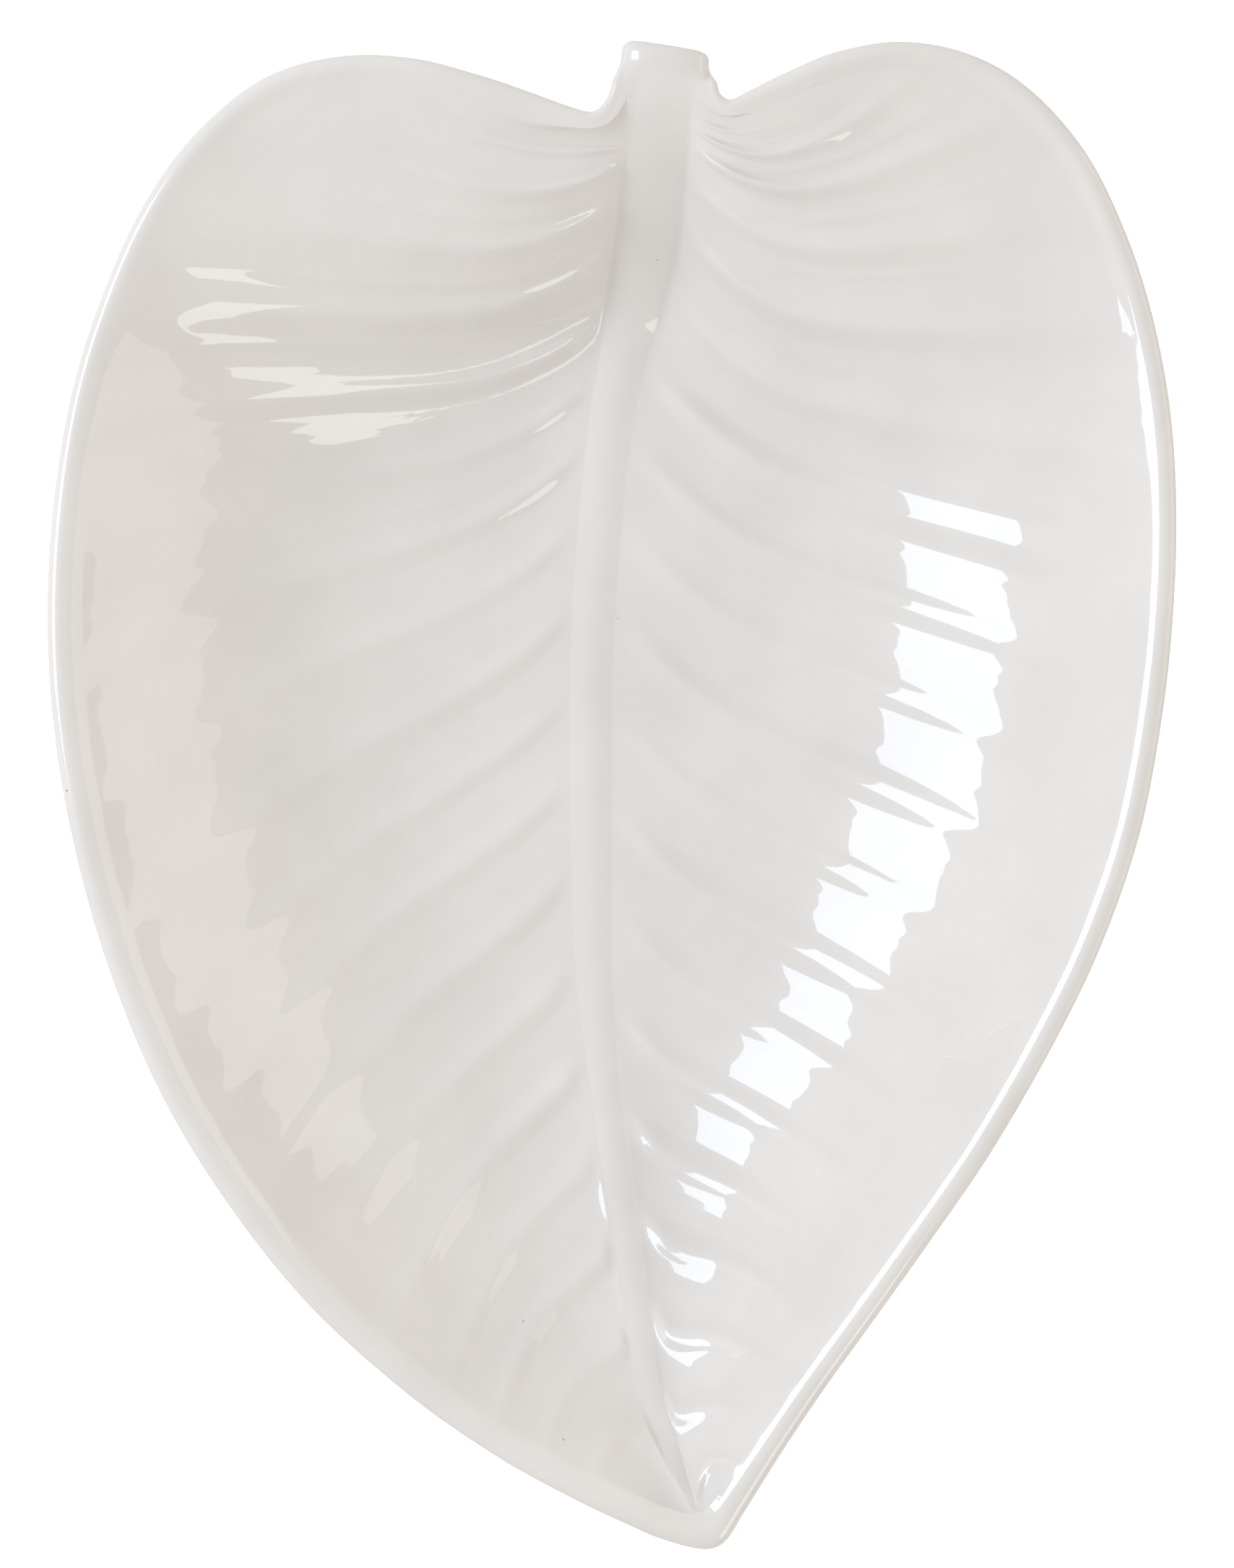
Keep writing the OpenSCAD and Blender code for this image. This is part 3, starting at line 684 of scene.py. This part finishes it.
def finish_piece(piece, slot, node, *fills):
    """Gives a piece its materials, smooths it, hangs it on the root body and hides the solid of the frame
    that it stands for.
    """
    for name in ("border", "round"):
        if name in piece.data.attributes:
            piece.data.attributes.remove(piece.data.attributes[name])
    piece.data.materials.clear()
    for fill in fills:
        piece.data.materials.append(shader_of(fill))
    only(piece)
    bpy.ops.object.shade_smooth_by_angle(angle=math.radians(SMOOTH_ANGLE))
    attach(piece, "root")
    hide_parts(node)


def add_node(tree, kind, sockets=None, **settings):
    """Adds a shader node of a kind, with its settings.

    Each socket gets a value or the output of another node.
    """
    node = tree.nodes.new("ShaderNode" + kind)
    for name, value in settings.items():
        setattr(node, name, value)
    for name, value in (sockets or {}).items():
        if isinstance(value, bpy.types.NodeSocket):
            tree.links.new(value, node.inputs[name])
        else:
            node.inputs[name].default_value = value
    return node


def maths(tree, operation, *terms):
    """Result of a maths node, whose terms are values or the outputs of other nodes."""
    return add_node(tree, "Math", dict(enumerate(terms)), operation=operation).outputs[0]


def noise(tree, place, reach, detail):
    """Noise that changes over a length."""
    sockets = {"Vector": place, "Scale": 1 / reach, "Detail": detail}
    return add_node(tree, "TexNoise", sockets).outputs["Fac"]


def ramp(tree, value, *span):
    """A value carried from its span, from least to most, over to another span."""
    names = ("From Min", "From Max", "To Min", "To Max")
    return add_node(tree, "MapRange", {"Value": value, **dict(zip(names, span))}).outputs["Result"]


def mixed_colour(tree, share, a, b):
    """A colour between two, which are colours of three numbers or outputs of other nodes."""
    sockets = {"Factor": share}
    for name, colour in (("A", a), ("B", b)):
        sockets[name] = colour if isinstance(colour, bpy.types.NodeSocket) else (*colour, 1)
    return add_node(tree, "Mix", sockets, data_type="RGBA").outputs["Result"]


def shader_of(fill):
    """The material named after the function that fills it, made the first time it is wanted."""
    material = bpy.data.materials.get(fill.__name__)
    if material is None:
        material = bpy.data.materials.new(fill.__name__)
        material.use_nodes = True
        material.node_tree.nodes.clear()
        fill(material.node_tree)
    return material


def length(name, description, default):
    """A length that a user would change, with its default in millimetres."""
    return bpy.props.FloatProperty(
        name=name, description=description, default=default * MM, unit="LENGTH")


class LeafDishSizes(bpy.types.PropertyGroup):
    """Sizes of the dish that a user would change."""

    leaf_length: length("Length", "From the end of the stalk to the tip", 300)
    leaf_width: length("Width", "Across the two sides", 225)
    leaf_height: length("Height", "Height of the rim above the table", 53)
    rim_sag: length("Rim sag", "How much lower the rim lies at the sides", 2)
    wall: length("Wall", "Thickness of the floor", 5)
    rim_width: length("Rim width", "Width of the rounded rim", 5.2)
    stalk_rim_width: length("Rim width at the stalk", "Where the rim runs out into the stalk", 2.2)
    tip_rim_width: length("Rim width at the tip", "Where the two sides of the rim meet", 6.3)
    rim_depth: length("Rim depth", "Height of the rim's outer face", 5.2)
    wall_slope: bpy.props.FloatProperty(
        name="Wall slope", description="Rise over run where the wall meets the rim", default=1.25)
    vein_height: length("Vein height", "Height of a side vein above the wall", 1.0)
    fine_rib_height: length("Fine rib height", "Height of the finer ribs between the veins", 0.25)
    midrib_width: length("Midrib width", "Width in the middle of the leaf", 9.4)
    midrib_height: length("Midrib height", "Height above the floor", 0.85)
    stalk_fall: length("Stalk fall", "Length over which the midrib falls to the floor", 60)
    tip_climb: length("Tip climb", "Length over which the floor climbs to the tip", 105)
    stalk_length: length("Stalk length", "Beyond the blade", 9.5)
    stalk_width: length("Stalk width", "Width at its end", 17.5)
    stalk_depth: length("Stalk depth", "Depth at its end", 10)
    stalk_slant: length("Stalk slant", "How much shorter it is on its right", 2.2)
    stalk_round: length("Stalk rounding", "Rounding of its end", 2.4)
    foot_height: length("Foot height", "Height of the foot ring", 5)
    foot_width: length("Foot width", "Across the leaf", 70)
    foot_length: length("Foot length", "Along the leaf", 122)
    foot_thickness: length("Foot thickness", "Thickness of the foot ring", 4.5)
    seat_margin: length("Seat margin", "Width of the flat underside round the foot", 11)
    seat_fade: length("Seat fade", "Width over which the flat underside blends into the wall", 20)


class LeafDishColours(bpy.types.PropertyGroup):
    """Colours of the dish that a user would change."""

    glaze: bpy.props.FloatVectorProperty(
        name="Glaze", description="White glaze on the porcelain",
        subtype="COLOR", size=3, default=srgb("#F2EFEC"))
    pooled: bpy.props.FloatVectorProperty(
        name="Pooled glaze", description="Glaze where it lies thicker in the furrows",
        subtype="COLOR", size=3, default=srgb("#ECE9E6"))
    speck: bpy.props.FloatVectorProperty(
        name="Specks", description="Iron specks and pinholes in the glaze",
        subtype="COLOR", size=3, default=srgb("#7A6A58"))
    bare: bpy.props.FloatVectorProperty(
        name="Bare porcelain", description="Unglazed bottom of the foot ring",
        subtype="COLOR", size=3, default=srgb("#DED7CA"))


def sizes():
    """The sizes set on the scene."""
    return bpy.context.scene.leaf_dish_sizes


def colours():
    """The colours set on the scene."""
    return bpy.context.scene.leaf_dish_colours


def glazed_porcelain(tree):
    """Cast porcelain under a clear, fired gloss glaze.

    The gloss coat gives sharp reflections that waver a little, because the glaze flowed as it melted.
    It is slightly greyer where it pooled, and it holds a few iron specks and pinholes.
    """
    place = add_node(tree, "TexCoord").outputs["Object"]
    # Pooling over about 25 mm
    pooling = ramp(tree, noise(tree, place, 25 * MM, 3.0), 0.35, 0.7)
    body = mixed_colour(tree, pooling, colours().glaze, colours().pooled)
    # Specks of 0.2 to 0.6 mm, one in a few of the 9 mm cells
    cells = add_node(tree, "TexVoronoi", {"Vector": place, "Scale": 1 / (9 * MM)}, feature="F1")
    pick = add_node(tree, "SeparateColor", {"Color": cells.outputs["Color"]})
    reach = ramp(tree, pick.outputs["Red"], 0.8, 1.0, 0.0, 0.04)
    inside = maths(tree, "SUBTRACT", reach, cells.outputs["Distance"])
    speck = ramp(tree, inside, 0.0, 0.02, 0.0, 0.8)
    colour = mixed_colour(tree, speck, body, colours().speck)
    # The melted glaze's waves: 14 mm across and a few hundredths of a millimetre high
    waves = noise(tree, place, 14 * MM, 2.0)
    wavy = add_node(tree, "Bump", {"Height": waves, "Strength": 1.0, "Distance": 0.05 * MM})
    pits = add_node(
        tree, "Bump",
        {"Height": speck, "Normal": wavy.outputs["Normal"], "Strength": 1.0, "Distance": 0.05 * MM},
        invert=True).outputs["Normal"]
    shader = add_node(tree, "BsdfPrincipled", {
        "Base Color": colour, "Normal": pits, "Coat Normal": pits, "Roughness": 0.35, "IOR": 1.5,
        "Specular IOR Level": 0.25, "Coat Weight": 1.0, "Coat Roughness": 0.02, "Coat IOR": 1.52,
    })
    add_node(tree, "OutputMaterial", {"Surface": shader.outputs["BSDF"]})


def bare_porcelain(tree):
    """Unglazed, wiped porcelain of the foot's bottom: matt, warm, with a fine tooth and rubbed dirt."""
    place = add_node(tree, "TexCoord").outputs["Object"]
    stain = noise(tree, place, 6 * MM, 4.0)
    grit = noise(tree, place, 0.4 * MM, 2.0)
    bare = colours().bare
    colour = mixed_colour(tree, stain, bare, [c * STAIN_SHARE for c in bare])
    bump = add_node(tree, "Bump", {"Height": grit, "Strength": 0.6, "Distance": 0.05 * MM})
    shader = add_node(tree, "BsdfPrincipled", {
        "Base Color": colour, "Normal": bump.outputs["Normal"], "Roughness": 0.8,
    })
    add_node(tree, "OutputMaterial", {"Surface": shader.outputs["BSDF"]})


def pale_floor(tree):
    """White from above, where it takes the dish's shadow, and clear from below.

    The room's light also passes it from below, so that the underside isn't black.
    """
    path = add_node(tree, "LightPath")
    seen = maths(tree, "MAXIMUM", path.outputs["Is Camera Ray"], path.outputs["Is Transmission Ray"])
    paper = add_node(tree, "BsdfDiffuse", {"Color": (*srgb("#F4F3F1"), 1)}).outputs[0]
    glow = add_node(tree, "Emission", {"Color": (1, 1, 1, 1), "Strength": FLOOR_GLOW}).outputs[0]
    both = add_node(tree, "AddShader", {0: paper, 1: glow}).outputs[0]
    above = add_node(tree, "MixShader", {0: seen, 1: paper, 2: both}).outputs[0]
    clear = add_node(tree, "BsdfTransparent").outputs[0]
    below = add_node(tree, "NewGeometry").outputs["Backfacing"]
    passed = maths(tree, "MAXIMUM", below, path.outputs["Is Diffuse Ray"])
    faces = add_node(tree, "MixShader", {0: passed, 1: above, 2: clear}).outputs[0]
    add_node(tree, "OutputMaterial", {"Surface": faces})


class LEAFDISH_OT_blade(bpy.types.Operator):
    """Models the blade: the wall with its veins, the rounded rim and the underside"""

    bl_idname = "leafdish.blade"
    bl_label = "Leaf blade"

    def execute(self, context):
        shape = LeafShape(sizes())
        g, v, strip = row_places(), side_shares(), strip_shares()
        top = shape.blade_points(g, v, strip)
        # The strip under the midrib lies a little lower than the midrib's own underside
        sink = smooth((MIDRIB_ROWS - np.arange(ROWS + 1)) / STRIP_SINK_ROWS)[:, None]
        sink = sink * np.sin(math.pi * strip[None, 1:-1])
        top[:, SIDE_CELLS + 1:SIDE_CELLS + STRIP_CELLS, 2] -= STRIP_SINK * sink
        piece = add_grid("leaf_blade_glazed", COLUMNS, ROWS)
        set_points(piece, in_grid_order(top))
        number_points(piece, "border", in_grid_order(border_numbers(ROWS, COLUMNS)[..., None]).ravel())
        border = rim_border(shape)
        first = 0
        for line in range(1, RIM_LINES + 1):
            points = shape.rim_points(*border, line / RIM_LINES)
            first = extrude_line(piece, chain_edges(piece, "border", first), "border", points)
        # The underside has half as many rows and columns, and faces down
        lower = add_grid("underside", COLUMNS // 2, ROWS // 2)
        set_points(lower, underside(shape).reshape(-1, 3))
        number_points(lower, "border", border_numbers(ROWS // 2, COLUMNS // 2).ravel())
        only(piece)
        lower.select_set(True)
        bpy.ops.object.join()
        select_edges(piece, chain_edges(piece, "border", first))
        bpy.ops.mesh.bridge_edge_loops(type="SINGLE", use_merge=False)
        bpy.ops.object.mode_set(mode="OBJECT")
        close_open_border(piece)
        finish_piece(piece, "white_glaze", "leaf_blade", glazed_porcelain)
        return {"FINISHED"}


class LEAFDISH_OT_midrib(bpy.types.Operator):
    """Models the midrib's rounded back along the floor"""

    bl_idname = "leafdish.midrib"
    bl_label = "Midrib"

    def execute(self, context):
        shape = LeafShape(sizes())
        crest = shape.crest_points(row_places()[:MIDRIB_ROWS + 1], strip_shares())
        piece = add_grid("midrib_glazed", STRIP_CELLS, MIDRIB_ROWS)
        set_points(piece, in_grid_order(crest))
        only(piece)
        shell = piece.modifiers.new("depth", "SOLIDIFY")
        shell.thickness = MIDRIB_DEPTH
        shell.offset = -1
        bpy.ops.object.modifier_apply(modifier=shell.name)
        finish_piece(piece, "white_glaze", "midrib", glazed_porcelain)
        return {"FINISHED"}


class LEAFDISH_OT_stalk(bpy.types.Operator):
    """Models the stalk from the blade's and the midrib's joint outline to its rounded end"""

    bl_idname = "leafdish.stalk"
    bl_label = "Stalk"

    def execute(self, context):
        shape = LeafShape(sizes())
        root = stalk_root(shape)
        piece = start_ring("stalk_glazed", root)
        shares = [(ring / STALK_RINGS, 0.0) for ring in range(1, STALK_RINGS + 1)]
        shares += [(1.0, math.sin(math.pi / 2 * ring / ROUND_RINGS)) for ring in range(1, ROUND_RINGS + 1)]
        first = 0
        for length_share, round_share in shares:
            points = stalk_ring(shape, root, length_share, round_share)
            first = extrude_ring(piece, first, points)
        # The flat end closes in two smaller rings and a face
        centre = points.mean(0)
        for inset in END_INSETS:
            first = extrude_ring(piece, first, blend(points, centre, inset))
        close_stalk(piece, len(root))
        finish_piece(piece, "white_glaze", "stalk", glazed_porcelain)
        return {"FINISHED"}


def close_stalk(piece, count):
    """Fills the root's outline and the flat end with a face each."""
    for at_root in (True, False):
        ends = edge_ends(piece.data)
        total = len(piece.data.vertices)
        select_edges(piece, ends.max(1) < count if at_root else ends.min(1) >= total - count)
        bpy.ops.mesh.edge_face_add()
        bpy.ops.object.mode_set(mode="OBJECT")
    edit(piece)
    face_outward()


def stalk_root(shape):
    """Joint outline of the blade's and the midrib's end, clockwise from the left rim's foot."""
    zero = np.array([0.0])
    v = side_shares()
    strip = strip_shares()
    lines = [shape.rim_points(*rim_border(shape), line / RIM_LINES) for line in range(1, RIM_LINES + 1)]
    rim_left = [line[0] for line in reversed(lines)]
    rim_right = [line[-1] for line in lines]
    left = shape.side_points(LEFT, zero, v[::-1])[0]
    right = shape.side_points(RIGHT, zero, v)[0]
    crest = shape.crest_points(zero, strip)[0, 1:-1]
    return np.concatenate([rim_left, left, crest, right, rim_right, underside(shape)[0, ::-1]])


def stalk_ring(shape, root, length_share, round_share):
    """One ring of the stalk, at a share of its straight length and of the rounding at its end."""
    s = shape.sizes
    middle = sum(shape.rim_outer(side, np.array(0.0))[0] for side in (LEFT, RIGHT)) / 2
    centre = np.array([middle, s.leaf_height - s.stalk_depth / 2])
    flat = root[:, [0, 2]]
    d = flat - centre
    turn = np.unwrap(np.arctan2(d[:, 0], d[:, 1]))
    even = turn[0] + 2 * math.pi * np.arange(len(root)) / len(root)
    turn = blend(turn, even, EVENNESS)
    half = np.array([s.stalk_width, s.stalk_depth]) / 2
    ray = np.stack([np.sin(turn), np.cos(turn)], -1)
    size = (np.abs(ray / half) ** END_POWER).sum(-1, keepdims=True) ** (1 / END_POWER)
    end = centre + ray / size
    place = blend(flat, end, along(STALK_SHAPE_SHARES, length_share))
    inset = s.stalk_round * (1 - math.sqrt(1 - round_share ** 2))
    scale = 1 - inset / half
    across = np.clip((place[:, 0] - centre[0]) / s.stalk_width + 0.5, 0, 1)
    reach = (s.stalk_length - s.stalk_round) * length_share + s.stalk_round * round_share
    y = shape.stalk_plane + reach - s.stalk_slant * across * reach / s.stalk_length
    place = centre + (place - centre) * scale
    return np.stack([place[:, 0], y, place[:, 1]], -1)


class LEAFDISH_OT_foot(bpy.types.Operator):
    """Models the foot ring, glazed on its sides and bare on its bottom"""

    bl_idname = "leafdish.foot"
    bl_label = "Foot ring"

    def execute(self, context):
        shape = LeafShape(sizes())
        s = shape.sizes
        turn = 2 * math.pi * np.arange(FOOT_POINTS) / FOOT_POINTS
        rings = []
        for inset, height in FOOT_SECTION_SHARES:
            place = shape.foot_centre + shape.foot_point(turn, inset * s.foot_thickness)
            rings.append(np.column_stack([place, np.full(FOOT_POINTS, height * s.foot_height)]))
        piece = start_ring("foot_ring_part_glazed", rings[0])
        first = 0
        for ring in rings[1:]:
            first = extrude_ring(piece, first, ring)
        ends = edge_ends(piece.data)
        select_edges(piece, (ends.max(1) < FOOT_POINTS) | (ends.min(1) >= first))
        bpy.ops.mesh.bridge_edge_loops(type="SINGLE", use_merge=False)
        face_outward()
        finish_piece(piece, "bare_foot", "foot_ring", glazed_porcelain, bare_porcelain)
        for face in piece.data.polygons:
            face.material_index = 1 if face.center.z < BARE_HEIGHT_SHARE * s.foot_height else 0
        return {"FINISHED"}


class LEAFDISH_OT_joints(bpy.types.Operator):
    """Gives the glazed pieces the same normals where they meet, so that the glaze runs over the joints"""

    bl_idname = "leafdish.joints"
    bl_label = "Run the glaze over the joints"

    def execute(self, context):
        names = ("leaf_blade_glazed", "midrib_glazed", "stalk_glazed")
        meshes = [bpy.data.objects[name].data for name in names]
        places, normals = [], []
        for mesh in meshes:
            corner = values(mesh.loops, "vertex_index")
            places.append(values(mesh.vertices, "co", 3, np.float32)[corner])
            normals.append(values(mesh.corner_normals, "vector", 3, np.float32))
        keys = [np.round(place / SAME_PLACE).astype(np.int64) for place in places]
        owner = np.concatenate([np.full(len(key), i) for i, key in enumerate(keys)])
        joined = np.concatenate(keys)
        way = np.concatenate(normals)
        place_number = np.unique(joined, axis=0, return_inverse=True)[1].ravel()
        total = place_number.max() + 1
        shared = np.zeros((total, len(meshes)), dtype=bool)
        shared[place_number, owner] = True
        at_joint = (shared.sum(1) > 1)[place_number]
        # Only corners of the outer skin count, not those that face along a cut or are the midrib's sides
        back = (owner != names.index("midrib_glazed")) | (way[:, 2] > BACK_FACING)
        skin = at_joint & (np.abs(way[:, 1]) < CUT_FACING) & back
        sums = np.zeros((total, 3))
        np.add.at(sums, place_number[skin], way[skin])
        length = np.linalg.norm(sums, axis=1, keepdims=True)
        mean = sums / np.maximum(length, 1e-9)
        alike = (way * mean[place_number]).sum(1) > LIKENESS
        way = np.where((skin & alike)[:, None], mean[place_number], way)
        cuts = np.cumsum([len(key) for key in keys])[:-1]
        for mesh, part in zip(meshes, np.split(way, cuts)):
            mesh.normals_split_custom_set(part.tolist())
        return {"FINISHED"}


class LEAFDISH_OT_stage(bpy.types.Operator):
    """Sets the pale floor, the soft boxes and the camera"""

    bl_idname = "leafdish.stage"
    bl_label = "Stage"

    def execute(self, context):
        scene = context.scene
        scene.view_settings.view_transform = "Standard"
        make_floor()
        make_world(scene)
        target = Vector(CAMERA_TARGET)
        for box in SOFT_BOXES:
            make_soft_box(target, *box)
        make_camera(scene, target)
        return {"FINISHED"}


def make_floor():
    """Adds the pale floor."""
    deselect_all()
    bpy.ops.mesh.primitive_plane_add(size=FLOOR_SIZE, location=(0, 0, -FLOOR_GAP))
    floor = bpy.context.object
    floor.name = "floor"
    floor.data.materials.append(shader_of(pale_floor))


def make_world(scene):
    """Pale surroundings, brighter towards the horizon and most of all to the left and right."""
    world = bpy.data.worlds.new("pale_room")
    scene.world = world
    world.use_nodes = True
    tree = world.node_tree
    tree.nodes.clear()
    way = add_node(tree, "TexCoord").outputs["Generated"]
    split = add_node(tree, "SeparateXYZ", {0: way}).outputs
    level = maths(tree, "MULTIPLY_ADD", split["Y"], ROOM_LEAN, ROOM_LEVEL)
    for axis, share in ROOM_SQUARES:
        square = maths(tree, "MULTIPLY", split[axis], split[axis])
        level = maths(tree, "MULTIPLY_ADD", square, share, level)
    # The camera itself sees plain white
    seen = add_node(tree, "LightPath").outputs["Is Camera Ray"]
    strength = add_node(tree, "Mix", {"Factor": seen, "A": level, "B": 1.0}, data_type="FLOAT")
    light = add_node(
        tree, "Background",
        {"Strength": strength.outputs["Result"], "Color": mixed_colour(tree, seen, ROOM_TINT, (1, 1, 1))})
    add_node(tree, "OutputWorld", {"Surface": light.outputs[0]})


def direction(turn, rise):
    """Direction at an angle round from +X and an angle up."""
    turn, rise = math.radians(turn), math.radians(rise)
    return Vector((math.cos(turn) * math.cos(rise), math.sin(turn) * math.cos(rise), math.sin(rise)))


def make_soft_box(target, name, turn, rise, distance, width, height, radiance, colour, lights):
    """Adds a soft box that faces the dish and that the camera doesn't see."""
    way = direction(turn, rise)
    bpy.ops.object.light_add(type="AREA", location=target + way * distance)
    box = bpy.context.object
    box.name = name
    box.data.shape = "RECTANGLE"
    box.data.size = width
    box.data.size_y = height
    # A lamp's radiance is its power over pi times its area
    box.data.energy = radiance * math.pi * width * height
    box.data.color = srgb(colour)
    box.rotation_euler = way.to_track_quat("Z", "Y").to_euler()
    box.visible_camera = False
    box.visible_diffuse = lights


def make_camera(scene, target):
    """Adds the camera: almost straight above, from a little to the lower right."""
    back = direction(CAMERA_TURN - 90, CAMERA_RISE)
    right = Vector((0, 1, 0)).cross(back).normalized()
    upward = back.cross(right)
    bpy.ops.object.camera_add()
    camera = bpy.context.object
    rows = zip(right, upward, back, target + back * CAMERA_DISTANCE)
    camera.matrix_world = Matrix((*rows, (0, 0, 0, 1)))
    camera.data.lens = SENSOR * CAMERA_DISTANCE / (PICTURE_LENGTH * PIXEL) * ZOOM
    camera.data.clip_end = CLIP_END
    scene.camera = camera


class LEAFDISH_PT_panel(bpy.types.Panel):
    """Lists the dish's sizes, colours and pieces"""

    bl_idname = "LEAFDISH_PT_panel"
    bl_label = "Leaf Dish"
    bl_space_type = "VIEW_3D"
    bl_region_type = "UI"
    bl_category = "Leaf Dish"

    def draw(self, context):
        for group in (sizes(), colours()):
            column = self.layout.column()
            for name in group.__annotations__:
                column.prop(group, name)
        for operator in OPERATORS:
            self.layout.operator(operator.bl_idname)


OPERATORS = (
    LEAFDISH_OT_blade, LEAFDISH_OT_midrib, LEAFDISH_OT_stalk, LEAFDISH_OT_foot,
    LEAFDISH_OT_joints, LEAFDISH_OT_stage,
)
CLASSES = (LeafDishSizes, LeafDishColours) + OPERATORS + (LEAFDISH_PT_panel,)


def register():
    """Registers the classes and hangs the settings on the scene."""
    for item in CLASSES:
        bpy.utils.register_class(item)
    bpy.types.Scene.leaf_dish_sizes = bpy.props.PointerProperty(type=LeafDishSizes)
    bpy.types.Scene.leaf_dish_colours = bpy.props.PointerProperty(type=LeafDishColours)


def unregister():
    """Takes the settings and the classes away again."""
    del bpy.types.Scene.leaf_dish_colours
    del bpy.types.Scene.leaf_dish_sizes
    for item in reversed(CLASSES):
        bpy.utils.unregister_class(item)


def main():
    """Makes every piece and the stage."""
    register()
    bpy.ops.leafdish.blade()
    bpy.ops.leafdish.midrib()
    bpy.ops.leafdish.stalk()
    bpy.ops.leafdish.foot()
    bpy.ops.leafdish.joints()
    bpy.ops.leafdish.stage()
    bpy.context.view_layer.update()


if __name__ == "__main__":
    main()
